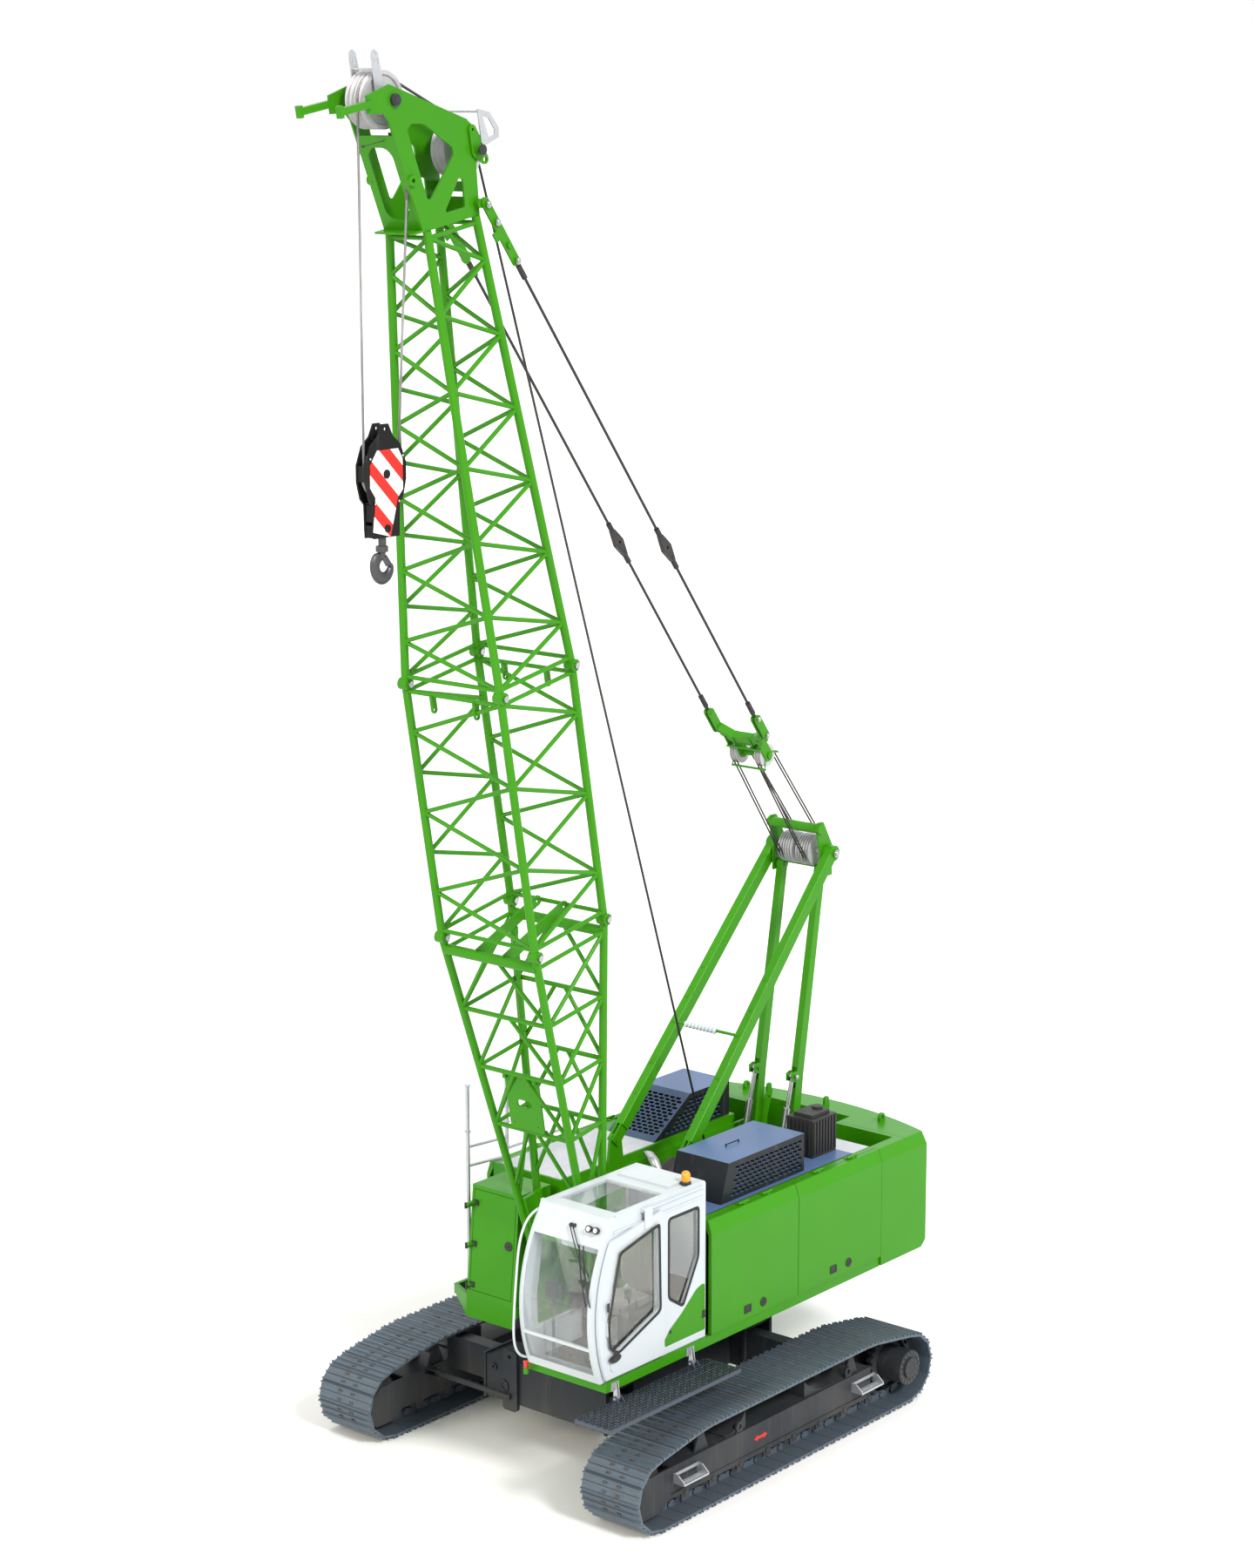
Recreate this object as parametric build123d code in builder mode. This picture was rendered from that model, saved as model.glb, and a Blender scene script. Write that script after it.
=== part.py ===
"""Crawler crane with a lattice boom, built as separate assemblies in one frame.

Row frame: +X forward, +Y to the machine's left, +Z up, origin on the ground under the slew axis.
All sizes are in millimetres.
"""
import os
from math import acos, atan2, cos, degrees, pi, radians, sin

from build123d import *

os.makedirs("parts", exist_ok=True)

# ---- Tracks -------------------------------------------------------------------------------
shoe_width = 700
track_gauge = 3450
wheel_base = 4040
loop_radius = 355
ridge_height = 25
crown_path_height = 850
crown_front_x = 1350
crown_rear_x = -1350
shoe_count = 54
shoe_plate = 22
chain_height = 92
rail_inner = 50
rail_outer = 100
running_gap = 0.3
idler_gap = 12
wheel_height = loop_radius + ridge_height
chain_radius = loop_radius - chain_height
frame_half_width = 200
side_plate = 20
frame_top = 520
roller_radius = 80
carrier_radius = 75
carrier_inset = 140
carrier_gap = 1.5
lug_places = (640, -1140)
lug_radius = 52
lug_bore = 28

# ---- Centre frame -------------------------------------------------------------------------
beam_box_front = 1310
beam_box_rear = 880
beam_box_low = 410
beam_box_high = 850
beam_box_half_length = 800
box_wall = 25
beam_width = 160
beam_low = 445
beam_high = 790
beam_inner_end = 100
carbody_half_width = 600
carbody_top = 1010
slew_ring_radius = 640
slew_ring_bore = 520
slew_ring_top = 1195
turn_gap = 0.3

# ---- Upper structure ----------------------------------------------------------------------
deck_low = slew_ring_top + turn_gap
sill_low = 1250
sill_high = 1350
house_half_width = 1462
house_top_half_width = 1415
chamfer_low = 2380
house_top = 2515
house_front = 520
seam_middle = -885
seam_rear = -2310
panel = 40
panel_gap = 8
plate_y = 450
plate_thick = 30
plate_top = 2420
deck_thick = 35

# ---- Counterweight ------------------------------------------------------------------------
weight_corner = -3116
weight_back = -3400
weight_wing_inner = 1300
weight_step_x = -2720
weight_notch_x = -3000
weight_notch_half = 550

# ---- Boom ---------------------------------------------------------------------------------
foot_x = 870
foot_z = 1450
boom_angle = 79.94
foot_half_width = 360
foot_radius = 45
joint_two = 4025
joint_one = 6569
head_start = 10753
chord_radius = 40
lace_radius = 21
box_half_width = 589
box_half_depth = 500
head_half_width = 225
head_front = -255
head_back = 384
head_axle_along = 11926
head_axle_across = -447
rear_axle_along = 11318
rear_axle_across = 491
sheave_radius = 250
sheave_width = 52
stay_pin_along = 10860
stay_pin_across = 450
stay_y = 300

# ---- Gantry -------------------------------------------------------------------------------
gantry_head_x = -2850
gantry_head_z = 5390
gantry_foot_x = -310
gantry_foot_z = 2745
gantry_foot_y = plate_y
gantry_head_y = 320
rear_leg_y = 245
gantry_pin = 32
cylinder_offset = 78
rear_leg_top = (-2825, 5190)
rear_leg_knee = (-2460, 3050)
rear_leg_foot = (-2350, 2230.3)


def xz_at(y):
    """The upright fore-and-aft plane at one side position; extrusions from it run to -Y."""
    return Plane(origin=(0, y, 0), x_dir=(1, 0, 0), z_dir=(0, -1, 0))


def boom_plane(y):
    """The boom's side plane: local x runs along the boom from the foot pin, local y to its back."""
    slope = radians(boom_angle)
    return Plane(origin=(foot_x, y, foot_z), x_dir=(cos(slope), 0, sin(slope)), z_dir=(0, -1, 0))


def boom_point(along, y, across):
    """A point given along the boom, sideways, and from its front to its back."""
    return boom_plane(y).from_local_coords(Vector(along, across, 0))


def tube(start, end, radius):
    """A round bar between two points, kept apart until it is added to a part."""
    axis = Vector(end) - Vector(start)
    return Plane(origin=start, z_dir=axis) * Cylinder(
        radius, axis.length, align=(Align.CENTER, Align.CENTER, Align.MIN), mode=Mode.PRIVATE)


def cross_bar(x, z, y_low, y_high, radius):
    """A round bar across the machine."""
    return tube((x, y_low, z), (x, y_high, z), radius)

# ---- Track loops --------------------------------------------------------------------------
def wrap_angle(centre_x, corner_x):
    """The angle at which the top run leaves an end wheel for its crown corner."""
    dx = corner_x - centre_x
    dz = crown_path_height - wheel_height
    reach = (dx * dx + dz * dz) ** 0.5
    turn = degrees(acos(loop_radius / reach))
    base = degrees(atan2(dz, dx))
    return base - turn if dx < 0 else base + turn


idler_x = wheel_base / 2
sprocket_x = -wheel_base / 2
front_angle = wrap_angle(idler_x, crown_front_x)
rear_angle = wrap_angle(sprocket_x, crown_rear_x)

with BuildLine(Plane.XY) as shoe_path:
    Line((sprocket_x, ridge_height), (idler_x, ridge_height))
    front_arc = CenterArc((idler_x, wheel_height), loop_radius, -90, front_angle + 90)
    Polyline(front_arc @ 1, (crown_front_x, crown_path_height), (crown_rear_x, crown_path_height),
             (sprocket_x + loop_radius * cos(radians(rear_angle)),
              wheel_height + loop_radius * sin(radians(rear_angle))))
    CenterArc((sprocket_x, wheel_height), loop_radius, rear_angle, 270 - rear_angle)

shoe_wire = shoe_path.wires()[0]


def path_point(turns, height):
    """A point beside the shoe path, at a share of its length and a height outward from it."""
    spot = shoe_wire.position_at(turns % 1)
    along = shoe_wire.tangent_at(turns % 1)
    return (spot.X + along.Y * height, spot.Y - along.X * height)


# share of one shoe, height
shoe_profile = ((0.06, 0), (0.12, ridge_height), (0.22, ridge_height), (0.30, 0),
                (0.70, 0), (0.78, ridge_height), (0.88, ridge_height), (0.94, 0))
shoe_outline = [path_point((i + share) / shoe_count, height)
                for i in range(shoe_count) for share, height in shoe_profile]
plate_inside = [path_point(i / shoe_count, -shoe_plate) for i in range(shoe_count)]
rail_root = [path_point(i / shoe_count, -shoe_plate + 1) for i in range(shoe_count)]
rail_inside = [path_point(i / shoe_count, -chain_height) for i in range(shoe_count)]

track_y = track_gauge / 2
with BuildPart() as left_track_loop:
    with BuildSketch(xz_at(track_y + shoe_width / 2)):
        with BuildLine():
            Polyline(*shoe_outline, close=True)
        make_face()
        with BuildLine():
            Polyline(*plate_inside, close=True)
        make_face(mode=Mode.SUBTRACT)
    extrude(amount=shoe_width)
    for y in (track_y + rail_outer, track_y - rail_inner):
        with BuildSketch(xz_at(y)):
            with BuildLine():
                Polyline(*rail_root, close=True)
            make_face()
            with BuildLine():
                Polyline(*rail_inside, close=True)
            make_face(mode=Mode.SUBTRACT)
        extrude(amount=rail_outer - rail_inner)

# ---- Track frames -------------------------------------------------------------------------
frame_outer = track_y + frame_half_width
frame_inner = track_y - frame_half_width
side_outline = ((-1500, 200), (-1500, frame_top), (2050, frame_top), (2180, 420), (2200, 180),
                (2120, 115), (1850, 115), (1750, 200))
inner_outline = ((-2190, 330), (-2120, 470), (-1500, frame_top), (2050, frame_top), (2180, 420),
                 (2200, 180), (2120, 115), (1850, 115), (1750, 200), (-1900, 200), (-2120, 240))
carrier_places = (crown_front_x - carrier_inset, crown_rear_x + carrier_inset)
carrier_height = crown_path_height - chain_height - carrier_radius - carrier_gap
bottom_roller_places = [-1480 + i * 425 for i in range(8)]
bottom_roller_height = ridge_height + chain_height + roller_radius + running_gap
front_beam_x = beam_box_front - box_wall - 5 - beam_width
rear_beam_x = -beam_box_rear - box_wall - 5 - beam_width

with BuildPart() as left_track_frame:
    for y, outline in ((frame_outer, side_outline), (frame_inner + side_plate, inner_outline)):
        with BuildSketch(xz_at(y)):
            with BuildLine():
                Polyline(*outline, close=True)
            make_face()
        extrude(amount=side_plate)
    with BuildSketch(Plane.XY.offset(frame_top - side_plate)):
        with Locations((100, track_y)):
            Rectangle(3200, 2 * frame_half_width)
    extrude(amount=side_plate)
    # upright brackets of the carrier rollers
    for y in (track_y + 165, track_y - 145):
        with BuildSketch(xz_at(y)):
            for x in carrier_places:
                with BuildLine():
                    Polyline((x - 110, frame_top - 5), (x - 42, carrier_height), (x + 42, carrier_height),
                             (x + 110, frame_top - 5), close=True)
                make_face()
                with Locations((x, carrier_height)):
                    Circle(42)
        extrude(amount=20)
    # swept saddles over the beam ends
    for foot, crest, crest_z in ((850, 530, 710), (-870, -420, 690)):
        middle = (0.4 * foot + 0.6 * crest, 0.72 * frame_top + 0.28 * crest_z)
        with BuildSketch(xz_at(frame_outer - 30)):
            with BuildLine():
                ThreePointArc((crest, crest_z), middle, (foot, frame_top + 15))
                Polyline((foot, frame_top + 15), (foot, frame_top - 5), (crest, frame_top - 5), (crest, crest_z))
            make_face()
        extrude(amount=2 * frame_half_width - 60)
    # lifting lugs
    with BuildSketch(xz_at(frame_outer - 12)):
        for x in lug_places:
            with Locations((x, frame_top + lug_radius)):
                Circle(lug_radius)
                Circle(lug_bore, mode=Mode.SUBTRACT)
            with Locations((x, frame_top)):
                Rectangle(2 * lug_radius, 30)
    extrude(amount=24)
    # roller feet with their end caps, and the ledge over them
    for x in bottom_roller_places:
        with Locations((x, frame_outer - side_plate / 2, 172), (x, frame_inner + side_plate / 2, 172)):
            Box(110, side_plate, 60)
        add([cross_bar(x, bottom_roller_height, frame_outer - side_plate, frame_outer + 9, 27)])
    with Locations((125, frame_outer + 5, 248)):
        Box(3150, 12, 12)

with BuildPart() as left_beams:
    for x in (front_beam_x, rear_beam_x):
        with Locations((x + beam_width / 2, (frame_inner - beam_inner_end) / 2, (beam_low + beam_high) / 2)):
            Box(beam_width, frame_inner + beam_inner_end, beam_high - beam_low)
            Box(beam_width - 40, frame_inner + beam_inner_end - 40, beam_high - beam_low - 40,
                mode=Mode.SUBTRACT)

with BuildPart() as left_drive_sprocket:
    with BuildSketch(xz_at(track_y + 30)):
        with Locations((sprocket_x, wheel_height)):
            Circle(chain_radius - 12)
            with PolarLocations(chain_radius - 12, 23):
                Rectangle(60, 34)
    extrude(amount=60)
    with Locations(Location((sprocket_x, track_y + 165, wheel_height), (90, 0, 0))):
        Cylinder(180, 310)
    with Locations(Location((sprocket_x, track_y + 330, wheel_height), (90, 0, 0))):
        Cylinder(105, 30)
    add([cross_bar(sprocket_x, wheel_height, frame_inner + side_plate + running_gap, track_y - 30, 150)])

with BuildPart() as left_rollers:
    add([cross_bar(idler_x, wheel_height, track_y - rail_outer - 5, track_y + rail_outer + 5,
                   chain_radius - idler_gap)])
    add([cross_bar(idler_x, wheel_height, track_y - rail_inner + 5, track_y + rail_inner - 5,
                   chain_radius + 22)])
    add([cross_bar(idler_x, wheel_height, frame_inner + side_plate, frame_outer - side_plate, 60)])
    for x in bottom_roller_places:
        add([cross_bar(x, bottom_roller_height, track_y - 130, track_y + 130, roller_radius)])
        add([cross_bar(x, bottom_roller_height, frame_inner + side_plate, frame_outer - side_plate, 26)])
    for x in carrier_places:
        add([cross_bar(x, carrier_height, track_y - 120, track_y + 120, carrier_radius)])
        add([cross_bar(x, carrier_height, track_y - 145, track_y + 145, 25)])

step_places = (1490, -1360)
with BuildPart() as left_steps:
    for x in step_places:
        for x_side in (x - 180, x + 180):
            with BuildSketch(Plane(origin=(x_side + 7, 0, 0), x_dir=(0, 1, 0), z_dir=(-1, 0, 0))):
                with BuildLine():
                    Polyline((frame_outer, -450), (frame_outer + 60, -440), (frame_outer + 135, -375),
                             (frame_outer + 135, -350), (frame_outer, -350), close=True)
                make_face()
            extrude(amount=14)
        with Locations((x, frame_outer + 92, 360)):
            Box(374, 86, 20)
            Box(330, 60, 20, mode=Mode.SUBTRACT)
            with GridLocations(0, 20, 1, 3):
                Box(340, 7, 14)
        with Locations((x, frame_outer + 5, 430)):
            Box(346, 10, 30)

with BuildPart() as right_track_loop:
    mirror(left_track_loop.part, about=Plane.XZ)
with BuildPart() as right_drive_sprocket:
    mirror(left_drive_sprocket.part, about=Plane.XZ)
with BuildPart() as right_rollers:
    mirror(left_rollers.part, about=Plane.XZ)
with BuildPart() as right_steps:
    mirror(left_steps.part, about=Plane.XZ)

# the right-hand beams slide beside the left-hand ones, and a locking bar is pinned to the frame's lug
right_front_beam_x = beam_box_rear + box_wall + 5
right_rear_beam_x = -beam_box_front + box_wall + 5
lock_bar_x = beam_box_front + 68
lock_bar_z = 500
with BuildPart() as lock_bar:
    with Locations((lock_bar_x, (-frame_inner + 120 - 400) / 2, lock_bar_z)):
        Box(30, frame_inner - 120 - 400, 46 - 2 * running_gap)
    with Locations((lock_bar_x, -frame_inner + 160, lock_bar_z)):
        Cylinder(9 + running_gap, 60, mode=Mode.SUBTRACT)

with BuildPart() as right_track_frame:
    mirror(left_track_frame.part, about=Plane.XZ)
    with Locations((lock_bar_x, -frame_inner + 95, lock_bar_z + 32), (lock_bar_x, -frame_inner + 95, lock_bar_z - 32)):
        Box(80, 200, 18)
    with Locations((lock_bar_x, -frame_inner + 160, lock_bar_z)):
        Cylinder(9, 150)
    add(lock_bar.part)
with BuildPart() as right_beams:
    for x in (right_front_beam_x, right_rear_beam_x):
        with Locations((x + beam_width / 2, -(frame_inner - beam_inner_end) / 2, (beam_low + beam_high) / 2)):
            Box(beam_width, frame_inner + beam_inner_end, beam_high - beam_low)
            Box(beam_width - 40, frame_inner + beam_inner_end - 40, beam_high - beam_low - 40,
                mode=Mode.SUBTRACT)

# ---- Centre frame -------------------------------------------------------------------------
box_length_x = beam_box_front - beam_box_rear
box_middle_x = (beam_box_front + beam_box_rear) / 2
box_middle_z = (beam_box_low + beam_box_high) / 2
box_height = beam_box_high - beam_box_low
bracket_y = -430
bracket_plate = 40
with BuildPart() as centre_frame:
    with Locations((box_middle_x, 0, box_middle_z), (-box_middle_x, 0, box_middle_z)):
        Box(box_length_x, 2 * beam_box_half_length, box_height)
    with Locations((0, 0, (beam_box_low + carbody_top) / 2)):
        Box(2 * beam_box_rear, 2 * carbody_half_width, carbody_top - beam_box_low)
    with Locations((0, 0, (beam_box_low + carbody_top) / 2 - box_wall)):
        Box(2 * beam_box_rear - 2 * box_wall, 2 * carbody_half_width - 2 * box_wall,
            carbody_top - beam_box_low, mode=Mode.SUBTRACT)
    with Locations((box_middle_x, 0, box_middle_z), (-box_middle_x, 0, box_middle_z)):
        Box(box_length_x - 2 * box_wall, 2 * beam_box_half_length, box_height - 2 * box_wall,
            mode=Mode.SUBTRACT)
    # the pads that the four beams slide on
    pad_low = beam_low - running_gap - (beam_box_low + box_wall)
    pad_high = beam_box_high - box_wall - beam_high - running_gap
    for y in (beam_box_half_length - 80, -beam_box_half_length + 80):
        for x in (box_middle_x, -box_middle_x):
            with Locations((x, y, beam_box_low + box_wall + pad_low / 2 - 1)):
                Box(box_length_x - 2 * box_wall - 2, 120, pad_low + 2)
            with Locations((x, y, beam_box_high - box_wall - pad_high / 2 + 1)):
                Box(box_length_x - 2 * box_wall - 2, 120, pad_high + 2)
    # rims round the box mouths
    for x in (box_middle_x, -box_middle_x):
        for y in (beam_box_half_length - 15, -beam_box_half_length + 15):
            with Locations((x, y, box_middle_z)):
                Box(box_length_x + 30, 30, box_height + 30)
                Box(box_length_x - 2 * box_wall, 30, box_height - 2 * box_wall, mode=Mode.SUBTRACT)
    # front bracket plate with its eye, and the boss beside it
    with BuildSketch(Plane(origin=(beam_box_front - 1, 0, 0), x_dir=(0, 1, 0), z_dir=(1, 0, 0))):
        with Locations((bracket_y, 655)):
            RectangleRounded(190, 630, 40)
        with Locations((bracket_y, 905)):
            Circle(20, mode=Mode.SUBTRACT)
    extrude(amount=bracket_plate + 1)
    with Locations((beam_box_front + 9, bracket_y - 235, 740)):
        with Locations(Rotation(0, 90, 0)):
            Cylinder(38, 20)
            Cylinder(16, 20, mode=Mode.SUBTRACT)
    # the locking pin's ring handle
    with Locations(Location((beam_box_front + bracket_plate + 12, bracket_y - 62, 590), (0, 90, 0))):
        Torus(46, 9)
    with Locations((beam_box_front + bracket_plate + 9, bracket_y - 62, 642)):
        Box(20, 26, 26)

with BuildPart() as slew_ring:
    with BuildSketch(Plane.XY.offset(carbody_top)):
        Circle(slew_ring_radius)
        Circle(slew_ring_bore, mode=Mode.SUBTRACT)
    extrude(amount=slew_ring_top - carbody_top)
    with BuildSketch(Plane.XY.offset(carbody_top + 60)):
        Circle(slew_ring_radius + 25)
        Circle(slew_ring_bore, mode=Mode.SUBTRACT)
    extrude(amount=70)

# ---- Upper main frame ---------------------------------------------------------------------
frame_rear = weight_step_x + running_gap
cab_front_sill = 2080
locker_front = 1200
locker_near = -510
locker_far = -1130
house_inner = plate_y + plate_thick / 2
deck_half = house_half_width - 20
side_plate_outline = ((frame_rear, deck_low + 40), (1050, deck_low + 40), (1050, 1560), (960, 1620), (700, 1620),
                      (400, 1850), (250, plate_top), (-180, plate_top), (-230, 2800), (-390, 2800),
                      (-440, plate_top), (frame_rear, plate_top))
left_deck = ((seam_rear, house_inner), (cab_front_sill, house_inner), (cab_front_sill, deck_half),
             (seam_rear, deck_half))
right_deck = ((seam_rear, -house_inner), (locker_front, -house_inner), (locker_front, locker_far - 5),
              (locker_front - 150, -deck_half), (seam_rear, -deck_half))
horn_outline = ((-2560, 2231), (-2575, 2400), (-2640, 2560), (-2760, 2660), (-2765, 2755), (-2830, 2755),
                (-2850, 2640), (-2790, 2480), (-2700, 2231))
horn_y = 380
with BuildPart() as main_frame:
    with BuildSketch(Plane.XY.offset(deck_low)):
        with Locations(((1050 + frame_rear) / 2, 0)):
            Rectangle(1050 - frame_rear, 2 * plate_y + plate_thick)
    extrude(amount=40)
    for y in (plate_y + plate_thick / 2, -plate_y + plate_thick / 2):
        with BuildSketch(xz_at(y)) as cheek:
            with BuildLine():
                Polyline(*side_plate_outline, close=True)
            make_face()
            fillet([v for v in cheek.vertices() if 300 < v.X < 1000], 70)
            fillet([v for v in cheek.vertices() if -500 < v.X < 260 and v.Y > 2000], 35)
            with Locations((foot_x, foot_z)):
                Circle(foot_radius + 0.5, mode=Mode.SUBTRACT)
            with Locations((gantry_foot_x, gantry_foot_z)):
                Circle(gantry_pin + 0.3, mode=Mode.SUBTRACT)
        extrude(amount=plate_thick)
    # bearing bosses of the boom foot pin
    for y in (house_inner + 12.5, -house_inner - 12.5):
        with Locations(Location((foot_x, y, foot_z), (90, 0, 0))):
            Cylinder(95, 25)
            Cylinder(foot_radius + 0.5, 25, mode=Mode.SUBTRACT)
    # cross members under the rear legs and the horned brackets
    with Locations((-2290, 0, 2195)):
        Box(300, 2 * plate_y - plate_thick, 70)
    with Locations((-2630, 0, 2206)):
        Box(160, 2 * plate_y - plate_thick, 50)
    for y in (horn_y + 12, -horn_y + 12):
        with BuildSketch(xz_at(y)) as horn:
            with BuildLine():
                Polyline(*horn_outline, close=True)
            make_face()
            fillet([v for v in horn.vertices() if v.Y > 2300], 28)
            with Locations((-2785, 2600)):
                Circle(18, mode=Mode.SUBTRACT)
        extrude(amount=24)
    # floor and sill of both decks
    for deck in (left_deck, right_deck):
        with BuildSketch(Plane.XY.offset(sill_low)):
            with BuildLine():
                Polyline(*deck, close=True)
            make_face()
        extrude(amount=sill_high - sill_low)
        with BuildSketch(Plane.XY.offset(sill_low + deck_thick)):
            with BuildLine():
                Polyline(*deck, close=True)
            make_face()
            offset(amount=-40, kind=Kind.INTERSECTION, mode=Mode.REPLACE)
        extrude(amount=sill_high - sill_low, mode=Mode.SUBTRACT)
    # skirt below the locker, with its slanted wing
    with BuildSketch(Plane(origin=(locker_front, 0, 0), x_dir=(0, 1, 0), z_dir=(1, 0, 0))):
        with BuildLine():
            Polyline((locker_near, sill_low + 1), (locker_near, 1122), (locker_far - 5, 1122),
                     (locker_far - 5, sill_low + 1), close=True)
        make_face()
    extrude(amount=-30)
    wing_width = deck_half + locker_far - 5
    with BuildSketch(Plane(origin=(locker_front, locker_far - 5, 0), x_dir=(-150, -wing_width, 0),
                           z_dir=(-wing_width, 150, 0))):
        with BuildLine():
            Polyline((0, sill_low + 1), (0, 1122), (290, sill_low + 1), close=True)
        make_face()
    extrude(amount=30)

# ---- House shells and doors ---------------------------------------------------------------
door_inner = house_top_half_width - panel
house_edge = door_inner - panel_gap
hinge_y = door_inner - 4
hinge_z = house_top + 16
knuckle_radius = 14
hinge_pin = 7
hinge_places = (-95, -477, -1318, -1900)
with BuildPart() as left_house:
    with BuildSketch(xz_at(house_inner + panel)):
        with Locations(((house_front + seam_rear) / 2, (sill_high + house_top) / 2)):
            Rectangle(house_front - seam_rear, house_top - sill_high)
    extrude(amount=panel)
    with Locations(((house_front + seam_rear) / 2, (house_inner + house_edge) / 2, house_top - panel / 2)):
        Box(house_front - seam_rear, house_edge - house_inner, panel)
    for x in (house_front - panel / 2, seam_middle, seam_rear + panel / 2):
        with Locations((x, (house_inner + house_edge) / 2, (sill_high + house_top) / 2)):
            Box(panel, house_edge - house_inner, house_top - sill_high)
    # outer knuckles and pins of the door hinges
    for x in hinge_places:
        add([tube((x - 75, hinge_y, hinge_z), (x + 75, hinge_y, hinge_z), hinge_pin)])
        for x_side in (x - 53, x + 53):
            add([tube((x_side - 22, hinge_y, hinge_z), (x_side + 22, hinge_y, hinge_z), knuckle_radius)])
            with Locations((x_side, house_edge - 22, house_top + 5)):
                Box(44, 44, 12)

door_outline = ((house_half_width, sill_high + panel_gap), (house_half_width, chamfer_low),
                (house_top_half_width, house_top), (door_inner, house_top), (door_inner, house_top - 60),
                (house_half_width - panel, chamfer_low - 20), (house_half_width - panel, sill_high + panel_gap))


def door_plane(x):
    """The plane across the machine at one place; local x runs to -Y, extrusions run to -X."""
    return Plane(origin=(x, 0, 0), x_dir=(0, -1, 0), z_dir=(-1, 0, 0))


def side_door(front, rear, grip_x, lock_x):
    """A left-hand service door with its chamfered top, hinge knuckles, grip recess and lock plate."""
    with BuildPart(mode=Mode.PRIVATE) as door:
        with BuildSketch(door_plane(front - panel_gap / 2)):
            with BuildLine():
                Polyline(*[(-y, z) for y, z in door_outline], close=True)
            make_face()
        extrude(amount=front - rear - panel_gap)
        with BuildSketch(xz_at(house_half_width)):
            with Locations((grip_x, 1453)):
                RectangleRounded(74, 70, 10)
        extrude(amount=14, mode=Mode.SUBTRACT)
        with BuildSketch(xz_at(house_half_width + 3)):
            with BuildLine():
                Polyline((lock_x - 33, 1452), (lock_x, 1512), (lock_x + 33, 1452), close=True)
            make_face()
            with Locations((lock_x, 1448)):
                Circle(34)
        extrude(amount=8)
        for x in hinge_places:
            if rear < x < front:
                with Locations((x, door_inner + 14, house_top + 5)):
                    Box(60, 26, 12)
                add([tube((x - 30, hinge_y, hinge_z), (x + 30, hinge_y, hinge_z), knuckle_radius)])
                with Locations(Location((x, hinge_y, hinge_z), (0, 90, 0))):
                    Cylinder(hinge_pin + 0.3, 62, mode=Mode.SUBTRACT)
    return door.part


with BuildPart() as left_door_front:
    add(side_door(house_front, seam_middle, -56, -314))
with BuildPart() as left_door_rear:
    add(side_door(seam_middle, seam_rear, -1480, -1739))
with BuildPart() as right_house:
    mirror(left_house.part, about=Plane.XZ)
with BuildPart() as right_door_front:
    mirror(left_door_front.part, about=Plane.XZ)
with BuildPart() as right_door_rear:
    mirror(left_door_rear.part, about=Plane.XZ)

with BuildPart() as engine:
    with Locations((-1560, (house_inner + 1380) / 2 + 30, 1745)):
        Box(1250, 680, 920)

# place and size in x, y of the chequered roof plates: front, rear, inner, outer
roof_plate = 4
roof_plates_table = ((500, -980, -480, -1298), (-2012, -2300, 480, 1298))

# ---- Hoods, exhaust and air cleaner -------------------------------------------------------
hood_low = house_top + running_gap
hood_base = 6
hood_wall = 25
slot_length = 62
slot_height = 30
slot_pitch_x = 78
slot_pitch_z = 43


def slot_places(front_low, front_high, rear, low, high):
    """Centres of a brick pattern of slots inside a panel whose front edge slopes."""
    places = []
    rows = int((high - low) // slot_pitch_z)
    for row in range(rows):
        z = low + slot_pitch_z / 2 + row * slot_pitch_z
        share = (z - low) / (high - low)
        front = front_low + (front_high - front_low) * share - slot_length / 2 - 20
        x = rear + slot_length / 2 + 25 + (slot_pitch_x / 2 if row % 2 else 0)
        while x < front:
            places.append((x, z))
            x += slot_pitch_x
    return places


with BuildPart() as left_hood:
    with BuildSketch(xz_at(1240)):
        with BuildLine():
            Polyline((100, hood_low), (-30, 2915), (-1260, 2915), (-1260, hood_low), close=True)
        make_face()
    extrude(amount=650)
    with BuildSketch(xz_at(1240 - hood_wall)):
        with BuildLine():
            Polyline((65, hood_low), (-50, 2890), (-1235, 2890), (-1235, hood_low), close=True)
        make_face()
    extrude(amount=600, mode=Mode.SUBTRACT)
    with BuildSketch(xz_at(1241)):
        with Locations(*slot_places(0, -130, -1240, 2560, 2870)):
            RectangleRounded(slot_length, slot_height, 9)
    extrude(amount=hood_wall + 2, mode=Mode.SUBTRACT)
    with Locations((-760, 894, hood_low + hood_base / 2)):
        Box(2500, 808, hood_base)
    with Locations((-640, 915, hood_low + hood_base / 2)):
        Box(1180, 560, hood_base, mode=Mode.SUBTRACT)
    # lift handle on the lid
    for x in (-420, -620):
        add([tube((x, 900, 2910), (x, 900, 2940), 7)])
    add([tube((-413, 900, 2940), (-627, 900, 2940), 7)])

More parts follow.
